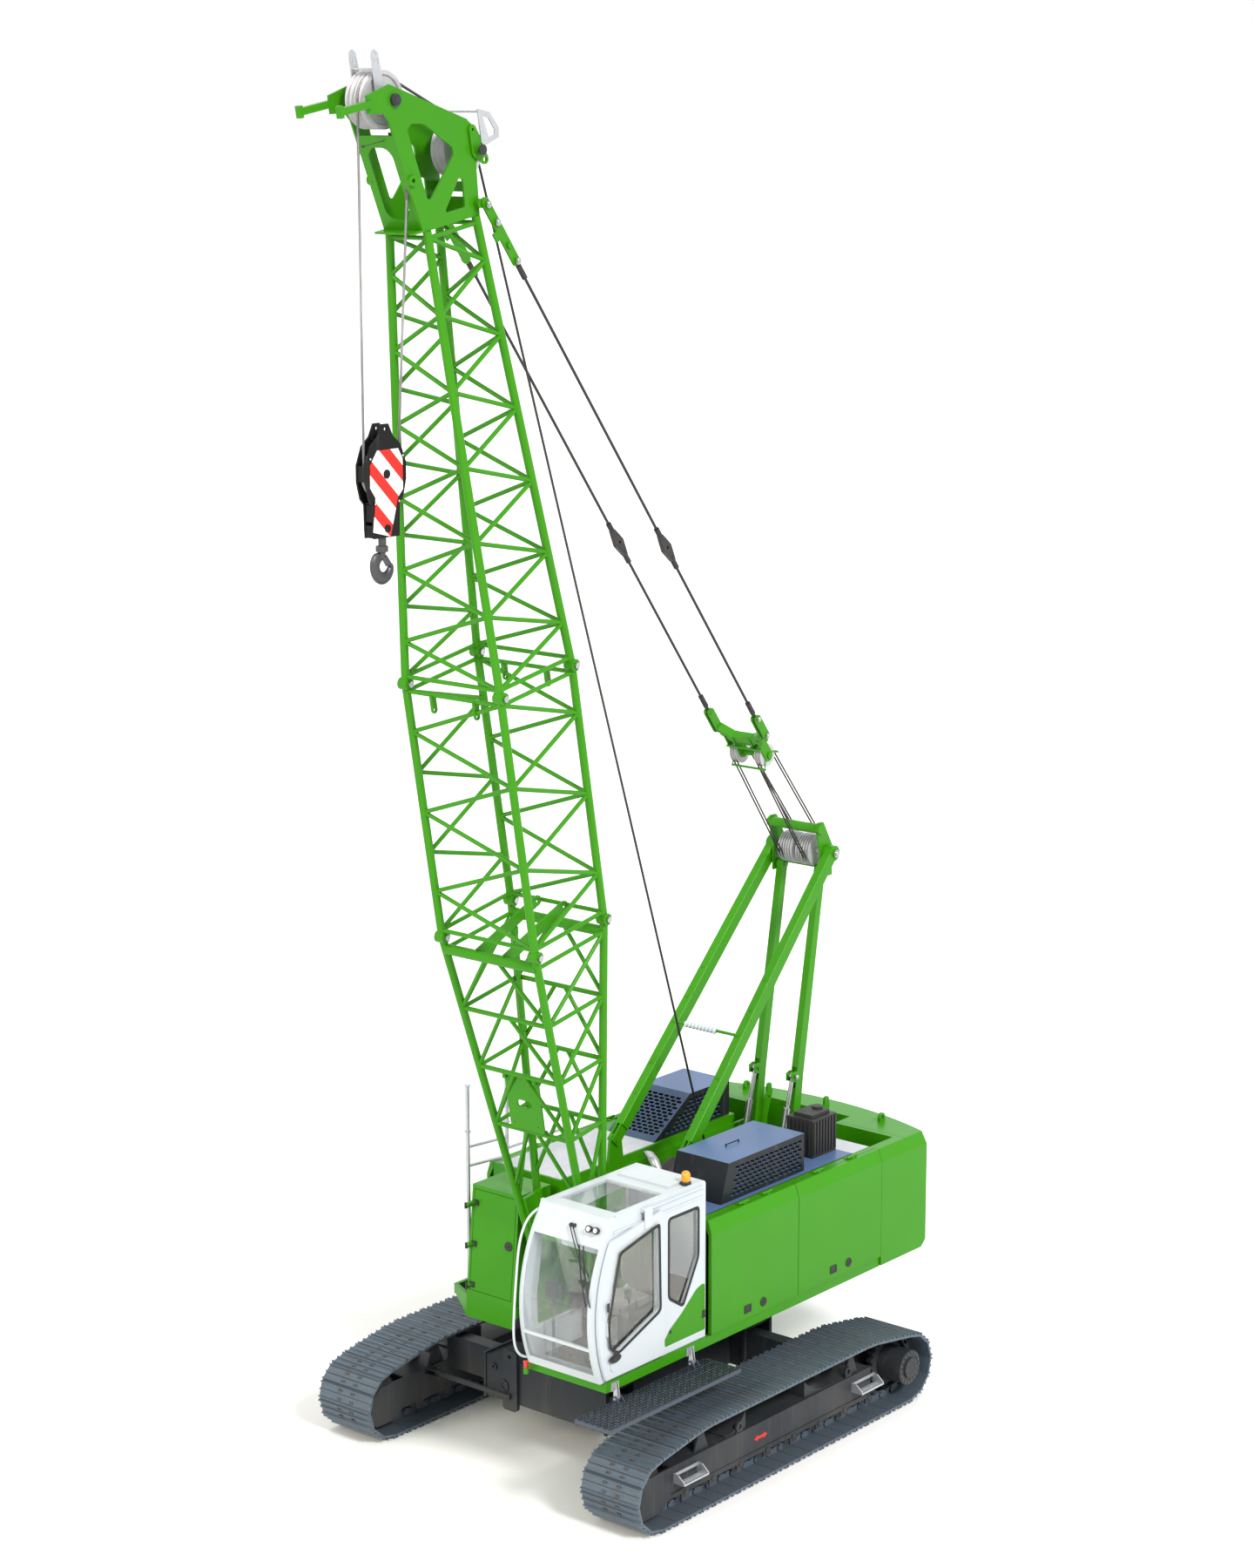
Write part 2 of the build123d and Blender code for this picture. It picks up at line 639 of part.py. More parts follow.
with BuildPart() as right_hood:
    with BuildSketch(xz_at(-500)):
        with BuildLine():
            Polyline((-1000, hood_low), (-1600, 2900), (-2260, 2900), (-2260, hood_low), close=True)
        make_face()
    extrude(amount=620)
    with BuildSketch(xz_at(-500 - hood_wall)):
        with BuildLine():
            Polyline((-1060, hood_low), (-1610, 2875), (-2235, 2875), (-2235, hood_low), close=True)
        make_face()
    extrude(amount=570, mode=Mode.SUBTRACT)
    with BuildSketch(xz_at(-499)):
        with Locations(*slot_places(-1120, -1640, -2140, 2545, 2875)):
            RectangleRounded(slot_length, slot_height, 9)
    extrude(amount=hood_wall + 2, mode=Mode.SUBTRACT)
    slope = Plane(origin=(-1300, -810, (hood_low + 2900) / 2), x_dir=(0, 1, 0),
                  z_dir=(2900 - hood_low, 0, 600))
    with BuildSketch(slope.offset(10)):
        with Locations(*[(x * slot_pitch_x + (slot_pitch_x / 2 if z % 2 else 0) - 20, z * slot_pitch_z)
                         for z in range(-6, 7) for x in range(-3, 4)]):
            RectangleRounded(slot_length, slot_height, 9)
    extrude(amount=-45, mode=Mode.SUBTRACT)

with BuildPart() as air_cleaner:
    with Locations((-1800, 930, hood_low + hood_base + running_gap + 200)):
        Box(400, 330, 400)
    for i in range(8):
        with Locations((-1975 + i * 50, 930, hood_low + hood_base + running_gap + 205)):
            Box(22, 356, 350)
    for i in range(6):
        with Locations((-1800, 805 + i * 50, hood_low + hood_base + running_gap + 205)):
            Box(424, 20, 350)
    with Locations((-1800, 930, hood_low + 425)):
        Box(300, 230, 40)
    with Locations((-1900, 930, hood_low + 440)):
        Cylinder(55, 60)

with BuildPart() as exhaust:
    with BuildLine() as pipe:
        Line((300, 640, hood_low + hood_base + running_gap), (300, 640, 2760))
        RadiusArc((300, 640, 2760), (300, 553, 2900), 160)
        Line((300, 553, 2900), (300, 490, 2950))
    with BuildSketch(Plane(origin=pipe.wires()[0] @ 0, z_dir=(0, 0, 1))):
        Circle(55)
    sweep()
    with BuildSketch(Plane(origin=pipe.wires()[0] @ 0, z_dir=(0, 0, 1))):
        Circle(80)
    extrude(amount=14)

# ---- Counterweight ------------------------------------------------------------------------
weight_top = house_top
with BuildPart() as counterweight:
    with BuildSketch(Plane.XY.offset(sill_low + 10)):
        with BuildLine():
            Line((seam_rear - running_gap, weight_wing_inner), (seam_rear - running_gap, house_half_width))
            Line((seam_rear - running_gap, house_half_width), (weight_corner, house_half_width))
            ThreePointArc((weight_corner, house_half_width), (weight_back, 0),
                          (weight_corner, -house_half_width))
            Line((weight_corner, -house_half_width), (seam_rear - running_gap, -house_half_width))
            Line((seam_rear - running_gap, -house_half_width), (seam_rear - running_gap, -weight_wing_inner))
            Polyline((seam_rear - running_gap, -weight_wing_inner), (weight_step_x, -weight_wing_inner),
                     (weight_step_x, -weight_notch_half), (weight_notch_x, -weight_notch_half),
                     (weight_notch_x, weight_notch_half), (weight_step_x, weight_notch_half),
                     (weight_step_x, weight_wing_inner), (seam_rear - running_gap, weight_wing_inner))
        make_face()
    extrude(amount=weight_top - sill_low - 10)
    top_face = counterweight.faces().sort_by(Axis.Z)[-1]
    outer_top = [e for e in top_face.edges()
                 if e.geom_type != GeomType.LINE or abs(e.center().Y) > house_half_width - 1]
    chamfer(outer_top, length=house_half_width - house_top_half_width, length2=house_top - chamfer_low,
            reference=top_face)
    low_face = counterweight.faces().sort_by(Axis.Z)[0]
    chamfer([e for e in low_face.edges() if e.geom_type != GeomType.LINE], length=70)
    # seams between the cast blocks
    for x in (weight_step_x - 60,):
        for y in (1, -1):
            with Locations((x, y * (house_half_width + weight_notch_half) / 2, weight_top)):
                Box(5, house_half_width - weight_notch_half + 10, 8, mode=Mode.SUBTRACT)
    # lifting eyes
    for y in (900, -900):
        with BuildSketch(xz_at(y + 15)):
            with Locations((-3080, weight_top + 45)):
                Circle(50)
                Circle(24, mode=Mode.SUBTRACT)
            with Locations((-3080, weight_top)):
                Rectangle(100, 30)
        extrude(amount=30)

# ---- Winches ------------------------------------------------------------------------------
winch_places = ((-1150, 2050, 210, 290), (-1850, 1900, 170, 250))
with BuildPart() as winches:
    for x, z, drum, flange in winch_places:
        add([cross_bar(x, z, -400, 400, drum)])
        add([cross_bar(x, z, -400, -375, flange)])
        add([cross_bar(x, z, 375, 400, flange)])
        add([cross_bar(x, z, -plate_y + plate_thick / 2 + running_gap, plate_y - plate_thick / 2 - running_gap, 60)])

# ---- Cab ----------------------------------------------------------------------------------
cab_right = 530
cab_left = 1415
cab_rear = 555
cab_floor = sill_high + running_gap
cab_roof = 2930
cab_wall = 40
cab_middle = (cab_left + cab_right) / 2
cab_nose = ((2140, cab_floor), (2265, 1835), (2040, 2760))
door_post_x = 1240
door_plane_y = cab_left + 45
rail_depth = 9.7
bar_y = 520
side_window = ((660, 2700), (1120, 2700), (1120, 1900), (900, 1760), (660, 2200))
right_window = ((700, 1700), (2050, 1700), (2060, 2000), (1950, 2680), (700, 2750))
door_window = ((1320, 1860), (1950, 1620), (2070, 1700), (2090, 1950), (1920, 2600), (1340, 2730))


def cab_side(inset):
    """The cab's side outline, drawn in by an even inset."""
    with BuildSketch(Plane.XY, mode=Mode.PRIVATE) as outline:
        with BuildLine():
            ThreePointArc(cab_nose[0], cab_nose[1], cab_nose[2])
            Polyline(cab_nose[2], (1960, cab_roof), (cab_rear, cab_roof), (cab_rear, cab_floor), cab_nose[0])
        make_face()
        if inset:
            offset(amount=-inset, mode=Mode.REPLACE)
    return outline.sketch


def pane(points, inset=0.0, rounding=45):
    """A window outline with rounded corners, drawn in by an even inset."""
    with BuildSketch(Plane.XY, mode=Mode.PRIVATE) as outline:
        with BuildLine():
            Polyline(*points, close=True)
        make_face()
        fillet(outline.vertices(), rounding)
        if inset:
            offset(amount=-inset, mode=Mode.REPLACE)
    return outline.sketch


with BuildPart() as cab_shell:
    with BuildSketch(xz_at(cab_left)):
        add(cab_side(0))
    extrude(amount=cab_left - cab_right)
    roof_edges = [e for e in cab_shell.edges() if e.center().Z > cab_roof - 90
                  and abs(e.center().Y - cab_middle) > 400]
    fillet(roof_edges, 24)
    with BuildSketch(xz_at(cab_left - cab_wall)):
        add(cab_side(cab_wall))
    extrude(amount=cab_left - cab_right - 2 * cab_wall, mode=Mode.SUBTRACT)
    # windscreen and roof window
    with Locations((2100, cab_middle, 2050)):
        Box(500, 800, 1220, mode=Mode.SUBTRACT)
    with Locations((1450, cab_middle, cab_roof)):
        Box(700, 700, 200, mode=Mode.SUBTRACT)
    # door opening, rear side window and right-hand window
    with BuildSketch(xz_at(cab_left + 10)):
        with BuildLine():
            Polyline((1300, 1420), (2030, 1420), (2120, 1900), (1960, 2650), (1300, 2750), close=True)
        make_face()
        add(pane(side_window))
    extrude(amount=60, mode=Mode.SUBTRACT)
    with BuildSketch(xz_at(cab_right + 50)):
        add(pane(right_window))
    extrude(amount=60, mode=Mode.SUBTRACT)
    # bar across the windscreen, door rails and rear roof hatch
    with Locations((2238, cab_middle, 1712)):
        Box(40, 810, 26)
    with Locations(((600 + 2060) / 2, cab_left + rail_depth / 2, 1382)):
        Box(1460, rail_depth, 36)
    with Locations(((600 + 1940) / 2, cab_left + rail_depth / 2, 2790)):
        Box(1340, rail_depth, 20)
    with Locations(((600 + 1540) / 2, cab_left + 15, 2895)):
        Box(940, 30, 20)
    with Locations((800, cab_middle, cab_roof + 12)):
        Box(330, 620, 24)
    # rain gutter over the door and roof front lip
    with Locations(((600 + 1900) / 2, cab_left - 12, cab_roof + 2)):
        Box(1300, 24, 22)
    with Locations((1945, cab_middle, cab_roof - 5)):
        Box(40, 860, 30)
    # grab bar beside the windscreen
    with BuildLine() as bar:
        Spline((1950, bar_y, 2840), (2130, bar_y, 2770), (2290, bar_y, 2300), (2335, bar_y, 1850),
               (2290, bar_y, 1500), (2130, bar_y, 1400))
    with BuildSketch(Plane(origin=bar.wires()[0] @ 0, z_dir=bar.wires()[0] % 0)):
        Circle(12)
    sweep(path=bar.wires()[0])
    for x, z in ((1955, 2840), (2133, 1402)):
        add([tube((x, bar_y, z), (x, cab_right + 5, z), 12)])

with BuildPart() as cab_glass:
    with BuildSketch(xz_at(cab_middle + 399.7)):
        add(cab_side(12))
        add(cab_side(20), mode=Mode.SUBTRACT)
    extrude(amount=799.4)
    with Locations((2150, cab_middle, 2050)):
        Box(500, 799.4, 1219.4, mode=Mode.INTERSECT)
    with Locations((2238, cab_middle, 1712)):
        Box(60, 811, 26.6, mode=Mode.SUBTRACT)
    with Locations((1450, cab_middle, cab_roof - 20)):
        Box(699.4, 699.4, 8)
    with BuildSketch(xz_at(cab_left - 17)):
        add(pane(side_window, 0.3))
    extrude(amount=6)
    with BuildSketch(xz_at(cab_right + 23)):
        add(pane(right_window, 0.3))
    extrude(amount=6)

with BuildPart() as cab_door:
    with BuildSketch(xz_at(door_plane_y)) as door_leaf:
        with BuildLine():
            ThreePointArc((2095, 1385), (2203, 1850), (2010, 2720))
            Polyline((2010, 2720), (door_post_x, 2850), (door_post_x, 1385), (2095, 1385))
        make_face()
        fillet(door_leaf.vertices().sort_by(Axis.Y)[-2:], 60)
        add(pane(door_window), mode=Mode.SUBTRACT)
    extrude(amount=35)
    # handle, lower cap and the hanger at the top rail
    with Locations((2085, door_plane_y + 12, 1895)):
        Box(34, 24, 130)
    with Locations(Location((1985, door_plane_y + 4, 1505), (90, 0, 0))):
        Cylinder(58, 8)
    with Locations((1480, door_plane_y + 5, 2820)):
        Box(110, 10, 190)
    with Locations((1480, door_plane_y - 17.35, 2910.15)):
        Box(110, 54.7, 9.7)

with BuildPart() as cab_door_glass:
    with BuildSketch(xz_at(door_plane_y - 12)):
        add(pane(door_window, 0.3))
    extrude(amount=6)

# ---- Cab fittings -------------------------------------------------------------------------
floor_top = cab_floor + cab_wall + running_gap
with BuildPart() as cab_seat:
    with Locations((1250, 950, 1800)):
        Box(540, 500, 130)
    with Locations(Location((970, 950, 2150), (0, -8, 0))):
        Box(130, 480, 640)
    with Locations(Location((915, 950, 2520), (0, -8, 0))):
        Box(110, 300, 200)

with BuildPart() as cab_controls:
    # seat base, both consoles with joysticks, pedals and the screen on its post
    with Locations((1200, 950, (floor_top + 1734) / 2)):
        Box(380, 380, 1734 - floor_top)
    for y in (632, 1268):
        with Locations((1300, y, 1830)):
            Box(620, 120, 130)
        with Locations((1300, y, (floor_top + 1790) / 2)):
            Box(220, 100, 1790 - floor_top)
        add([tube((1520, y, 1890), (1545, y, 2010), 12)])
        with Locations((1550, y, 2035)):
            Box(46, 46, 80)
    for y in (850, 1050):
        with Locations(Location((1900, y, floor_top + 70), (0, -35, 0))):
            Box(210, 90, 16)
        add([tube((1900, y, floor_top), (1900, y, floor_top + 62), 14)])
    add([tube((1960, 690, floor_top), (1960, 690, 1990), 16)])
    with Locations((1955, 700, 2060)):
        Box(30, 210, 150)

beacon_x = 760
beacon_y = 1335
with BuildPart() as lamps:
    add([tube((beacon_x, beacon_y, cab_roof + running_gap), (beacon_x, beacon_y, cab_roof + 36), 52)])
    add([tube((beacon_x, beacon_y, cab_roof + 36), (beacon_x, beacon_y, cab_roof + 140), 46)])
    # lamp on the cab's right front foot, then the red ones on the right hood and left roof
    for x, y, z, radius, height in ((2150, cab_right - 26 - running_gap, 1230, 26, 130), (-2200, -560, 2900 + running_gap, 18, 70),
                                    (400, 640, hood_low + hood_base + running_gap, 16, 60)):
        with Locations((x, y, z + height / 2)):
            Cylinder(radius, height)

# folding catwalk beside the cab, on pins in two brackets of the sill
plank_low = 1112
catwalk_pin_y = 1478
catwalk_pin_z = 1178
catwalk_hinges = (830, 1960)
with BuildPart() as catwalk:
    with Locations((1575, 1672, plank_low + 20)):
        Box(1950, 436, 40)
        with Locations((0, -109, -24), (0, 109, -24)):
            Box(1900, 204, 40, mode=Mode.SUBTRACT)
        with GridLocations(47, 109, 40, 4):
            Box(22, 86, 60, mode=Mode.SUBTRACT)
    for x in catwalk_hinges:
        for x_side in (x - 34, x + 34):
            with BuildSketch(door_plane(x_side + 6)):
                with BuildLine():
                    Polyline((-1456, plank_low + 8), (-1456, catwalk_pin_z + 22), (-1500, catwalk_pin_z + 22),
                             (-1560, plank_low + 8), close=True)
                make_face()
                with Locations((-catwalk_pin_y, catwalk_pin_z)):
                    Circle(10.3, mode=Mode.SUBTRACT)
            extrude(amount=12)

# ---- Locker and rails ---------------------------------------------------------------------
locker_low = sill_high + running_gap
locker_top = 2490
locker_rear = 620
locker_lean = 110
locker_hinge_y = -1118
locker_hinges = (1440, 1860, 2280)
locker_hinge_x = 1214
locker_frame = 46


def locker_face(z, outward):
    """The x of the locker's leaning front at one height, moved outward by a distance."""
    share = (z - locker_low) / (locker_top - locker_low)
    return locker_front - locker_lean * share + outward


with BuildPart() as locker:
    with BuildSketch(xz_at(locker_near)):
        with BuildLine():
            Polyline((locker_front, locker_low), (locker_front - locker_lean, locker_top),
                     (locker_rear, locker_top), (locker_rear, locker_low), close=True)
        make_face()
    extrude(amount=locker_near - locker_far)
    with BuildSketch(xz_at(locker_near - 30)):
        with BuildLine():
            Polyline((locker_front + 50, locker_low + 60), (locker_face(locker_top - 40, 50), locker_top - 40),
                     (locker_rear + 30, locker_top - 40), (locker_rear + 30, locker_low + 60), close=True)
        make_face()
    extrude(amount=locker_near - locker_far - 60, mode=Mode.SUBTRACT)
    with Locations(((locker_rear + locker_front - 60) / 2, (locker_near + locker_far) / 2, 1900)):
        Box(locker_front - 80 - locker_rear - 40, locker_near - locker_far - 60, 12)
    for z in locker_hinges:
        with Locations(((locker_face(z, -5) + locker_hinge_x) / 2, locker_hinge_y, z)):
            Box(locker_hinge_x - locker_face(z, -5), 14, 30)
        add([tube((locker_hinge_x, locker_hinge_y, z - 15), (locker_hinge_x, locker_hinge_y, z + 15), 12)])

with BuildPart() as locker_door:
    with BuildSketch(xz_at(locker_near - 36)):
        with BuildLine():
            Polyline((locker_face(locker_low + 66, 0), locker_low + 66), (locker_face(locker_top - 46, 0), locker_top - 46),
                     (locker_face(locker_top - 46, -30), locker_top - 46),
                     (locker_face(locker_low + 66, -30), locker_low + 66), close=True)
        make_face()
    extrude(amount=locker_near - locker_far - 72)
    for z in locker_hinges:
        with Locations(((locker_face(z + 30, 4) + locker_hinge_x) / 2, locker_hinge_y + 19, z + 30)):
            Box(locker_hinge_x - locker_face(z + 30, 4), 38, 29)
        with Locations((locker_face(z + 30, 0), locker_hinge_y + 36, z + 30)):
            Box(24, 24, 29)
        add([tube((locker_hinge_x, locker_hinge_y, z + 15.3), (locker_hinge_x, locker_hinge_y, z + 44.5), 12)])
    with Locations(Location((locker_face(1960, 0), locker_near - 100, 1960), (0, 90 - 5.4, 0))):
        Cylinder(42, 14)

# handrails, chequered roof plates and the catwalk's brackets, all galvanised
with BuildPart() as fittings:
    # posts: x, y, foot height, top height
    for x, y, low, high in ((870, -1395, sill_high + running_gap, 3400),
                            (376, -1310, house_top + roof_plate + 2 * running_gap, 3410)):
        add([tube((x, y, low), (x, y, high), 22)])
        add([tube((x, y, high), (x, y, high + 8), 36)])
        add([tube((x, y, 2920), (x, y, 2930), 36)])
    for z in (2760, 2560):
        add([tube((870, -1395, z), (376, -1310, z), 16)])
    add([tube((376, -1310, 2640), (-560, -1285, 2640), 16)])
    add([tube((-560, -1285, 2640), (-560, -1285, house_top + roof_plate + 2 * running_gap), 16)])
    for x in catwalk_hinges:
        with Locations((x, deck_half + running_gap + 5, 1290)):
            Box(110, 10, 80)
        for x_side in (x - 16, x + 16):
            with BuildSketch(door_plane(x_side + 5)):
                with BuildLine():
                    Polyline((-1448, 1328), (-1448, 1195), (-1462, 1162), (-1494, 1162), (-1498, 1190),
                             (-1475, 1328), close=True)
                make_face()
            extrude(amount=10)
        add([tube((x - 44, catwalk_pin_y, catwalk_pin_z), (x + 44, catwalk_pin_y, catwalk_pin_z), 10)])
    for front, rear, inner, outer in roof_plates_table:
        with Locations(((front + rear) / 2, (inner + outer) / 2, house_top + running_gap + roof_plate / 2)):
            Box(front - rear, abs(outer - inner), roof_plate)

# ---- Boom sections ------------------------------------------------------------------------
def box_size(along):
    """Half width, front offset and back offset of the boom at one place along it."""
    if along <= joint_two:
        share = along / joint_two
        half = foot_half_width + (box_half_width - foot_half_width) * share
        return half, -box_half_depth * share, box_half_depth * share
    if along <= joint_one:
        return box_half_width, -box_half_depth, box_half_depth
    share = (along - joint_one) / (head_start - joint_one)
    half = box_half_width + (head_half_width - box_half_width) * share
    front = -box_half_depth + (head_front + box_half_depth) * share
    back = box_half_depth + (head_back - box_half_depth) * share
    return half, front, back


def corner(along, side, face):
    """A point on one of the four chords: side is 1 left or -1 right, face -1 front or 1 back."""
    half, front, back = box_size(along)
    return boom_point(along, side * half, front if face < 0 else back)


def chords(low, high):
    """The four chord tubes of one section, a little longer than the section."""
    bars = []
    for side in (1, -1):
        for face in (1, -1):
            start = corner(low, side, face)
            end = corner(high, side, face)
            reach = (end - start).normalized() * 15
            bars.append(tube(start - reach, end + reach, chord_radius))
    return bars


def end_frame(along, radius):
    """Four bars round the box at one place."""
    return [tube(corner(along, 1, -1), corner(along, -1, -1), radius),
            tube(corner(along, 1, 1), corner(along, -1, 1), radius),
            tube(corner(along, 1, -1), corner(along, 1, 1), lace_radius),
            tube(corner(along, -1, -1), corner(along, -1, 1), lace_radius)]


def joint_eyes(along):
    """The pin eyes on the four chords at one joint."""
    return [tube(corner(along, side, face) - Vector(0, side * 52, 0), corner(along, side, face) + Vector(0, side * 52, 0),
                 joint_eye_radius) for side in (1, -1) for face in (1, -1)]


def lattice(low, high, bays, lacing_low, lacing_high):
    """Chords, end frames and zigzag lacing of one boom section, as separate bars."""
    bars = chords(low, high)
    step = (lacing_high - lacing_low) / bays
    stations = [lacing_low + i * step for i in range(bays + 1)]
    bars += end_frame(stations[0], lace_radius) + end_frame(stations[-1], lace_radius)
    for i in range(bays):
        flip = 1 if i % 2 else -1
        a, b = stations[i], stations[i + 1]
        for side in (1, -1):
            bars.append(tube(corner(a, side, flip), corner(b, side, -flip), lace_radius))
        for face in (1, -1):
            bars.append(tube(corner(a, flip * face, face), corner(b, -flip * face, face), lace_radius))
    return bars


def boom_cut(along):
    """The plane square to the boom at one place, facing the head."""
    slope = radians(boom_angle)
    return Plane(origin=boom_point(along, 0, 0), x_dir=(0, 1, 0), z_dir=(cos(slope), 0, sin(slope)))


def front_mid(along):
    """The middle of the boom's front face at one place."""
    return boom_point(along, 0, box_size(along)[1])


def back_mid(along):
    """The middle of the boom's back face at one place."""
    return boom_point(along, 0, box_size(along)[2])


def strut_point(along):
    """A point on the axis of the strut, inside the right-hand back chord."""
    return corner(along, -1, 1) + Vector(0, 57, 0) - boom_plane(0).y_dir * 57


joint_gap = running_gap / 2
joint_eye_radius = 58
strut_radius = 27
# rungs of the foot section, from the low end up
foot_rungs = (1980, 2620, 3260, 3900)
with BuildPart() as boom_foot:
    add(chords(20, joint_two))
    for along in foot_rungs[:3]:
        add(end_frame(along, lace_radius + 3))
    add(end_frame(foot_rungs[3], 52))
    # side faces: diagonals from the front chord to the back chord of the rung above
    lower = 1100
    for upper in foot_rungs:
        for side in (1, -1):
            add([tube(corner(lower, side, -1), corner(upper, side, 1), lace_radius)])
        lower = upper
    # front and back faces: two braces from the middle of each rung to the chords below it
    lower = 1250
    for upper in foot_rungs:
        for face, middle in ((-1, front_mid(upper)), (1, back_mid(upper))):
            for side in (1, -1):
                add([tube(middle + Vector(0, side * 60, 0), corner(lower, side, face), lace_radius)])
        lower = upper
    # foot box plates and pin barrels
    for side in (1, -1):
        y = side * foot_half_width
        with BuildSketch(boom_plane(y + 22)):
            with BuildLine():
                Polyline((-60, -60), (-60, 60), (900, 105), (1120, 130), (1120, -130), (900, -105), close=True)
            make_face()
        extrude(amount=44)
        add([tube(boom_point(0, y + 50, 0), boom_point(0, y - 50, 0), foot_radius + 35)])
    add([tube(boom_point(0, -plate_y - 40, 0), boom_point(0, plate_y + 40, 0), foot_radius)])
    add([tube(boom_point(700, -foot_half_width, 0), boom_point(700, foot_half_width, 0), 60)])
    # front panel with its oval, over the lowest bay, and the collar below it
    panel_front = box_size(2300)[1] - 20
    with BuildSketch(Plane(origin=boom_point(2300, 0, panel_front), x_dir=(0, 1, 0),
                           z_dir=boom_plane(0).y_dir)) as front_panel:
        RectangleRounded(430, 560, 30)
        SlotOverall(180, 80, mode=Mode.SUBTRACT)
        with GridLocations(300, 420, 2, 2):
            Circle(11, mode=Mode.SUBTRACT)
    extrude(amount=16)
    for y in (190, -190):
        add([tube(boom_point(2030, y, box_size(2030)[1] - 14), boom_point(1980, y, box_size(1980)[1]), 22)])
        add([tube(boom_point(2560, y, box_size(2560)[1] - 14), boom_point(2620, y, box_size(2620)[1]), 22)])
    add(joint_eyes(joint_two))
    # clamps of the strut beside the right-hand back chord
    for along in (2750, 3720):
        add([tube(strut_point(along), strut_point(along + 60), strut_radius + 16)])
    add([tube(strut_point(2600), strut_point(3900), strut_radius + running_gap)], mode=Mode.SUBTRACT)
    split(bisect_by=boom_cut(joint_two - joint_gap), keep=Keep.BOTTOM)
    # levers that reach from the front cross tube to the back of the joint
    for y in (180, -160):
        with BuildSketch(boom_plane(y)):
            with BuildLine():
                Polyline((3870, -525), (3855, -430), (4070, 440), (4150, 440), (4165, 380), (3965, -505), close=True)
            make_face()
            with Locations((4115, 420)):
                Circle(52)
                Circle(22, mode=Mode.SUBTRACT)
        extrude(amount=20)

with BuildPart() as strut:
    add([tube(strut_point(2660), strut_point(3820), strut_radius)])
with BuildPart() as boom_insert:
    add(lattice(joint_two, joint_one, 6, joint_two + 70, joint_one - 70))
    add(joint_eyes(joint_two))
    add(joint_eyes(joint_one))
    # rope guide lugs hung from the upper frame
    for y in (box_half_width * 0.45, box_half_width * -0.45):
        for face in (-1, 1):
            with BuildSketch(boom_plane(y + 10)):
                with Locations((joint_one - 140, face * box_half_depth)):
                    Rectangle(150, 70)
                    with Locations((-75, 0)):
                        Circle(35)
                        Circle(16, mode=Mode.SUBTRACT)
            extrude(amount=20)
    split(bisect_by=boom_cut(joint_two + joint_gap), keep=Keep.TOP)
    split(bisect_by=boom_cut(joint_one - joint_gap), keep=Keep.BOTTOM)
with BuildPart() as boom_top:
    add(lattice(joint_one, head_start, 12, joint_one + 70, head_start - 60))
    add(joint_eyes(joint_one))
    split(bisect_by=boom_cut(joint_one + joint_gap), keep=Keep.TOP)
    split(bisect_by=boom_cut(head_start - joint_gap), keep=Keep.BOTTOM)

# ---- Boom head ----------------------------------------------------------------------------
head_plate = 20
head_low = head_start + joint_gap
head_outline = ((head_low, head_front - 55), (head_axle_along - 161, head_axle_across - 98),
                (head_axle_along - 86, head_axle_across - 153), (head_axle_along - 63, head_axle_across - 330),
                (head_axle_along + 96, head_axle_across - 325), (head_axle_along + 139, head_axle_across - 36),
                (rear_axle_along + 282, rear_axle_across - 70), (rear_axle_along + 95, rear_axle_across + 85),
                (rear_axle_along - 20, rear_axle_across + 115), (rear_axle_along - 110, rear_axle_across - 20),
                (head_low, head_back + 46))
head_window = ((head_start + 225, -194), (head_axle_along - 271, -341), (head_axle_along - 236, -275),
               (head_axle_along - 266, -120), (rear_axle_along + 83, 191), (rear_axle_along + 11, 198))
base_window = ((head_start + 104, -18), (head_start + 104, 257), (rear_axle_along - 215, 272),
               (rear_axle_along - 198, 222))
front_run = Vector(head_axle_along - 161 - head_low, head_axle_across - 98 - head_front + 55, 0)
web_length = front_run.length - 140
side_plane = boom_plane(0)
front_along = side_plane.x_dir * front_run.X + side_plane.y_dir * front_run.Y
front_inward = side_plane.y_dir * front_run.X - side_plane.x_dir * front_run.Y
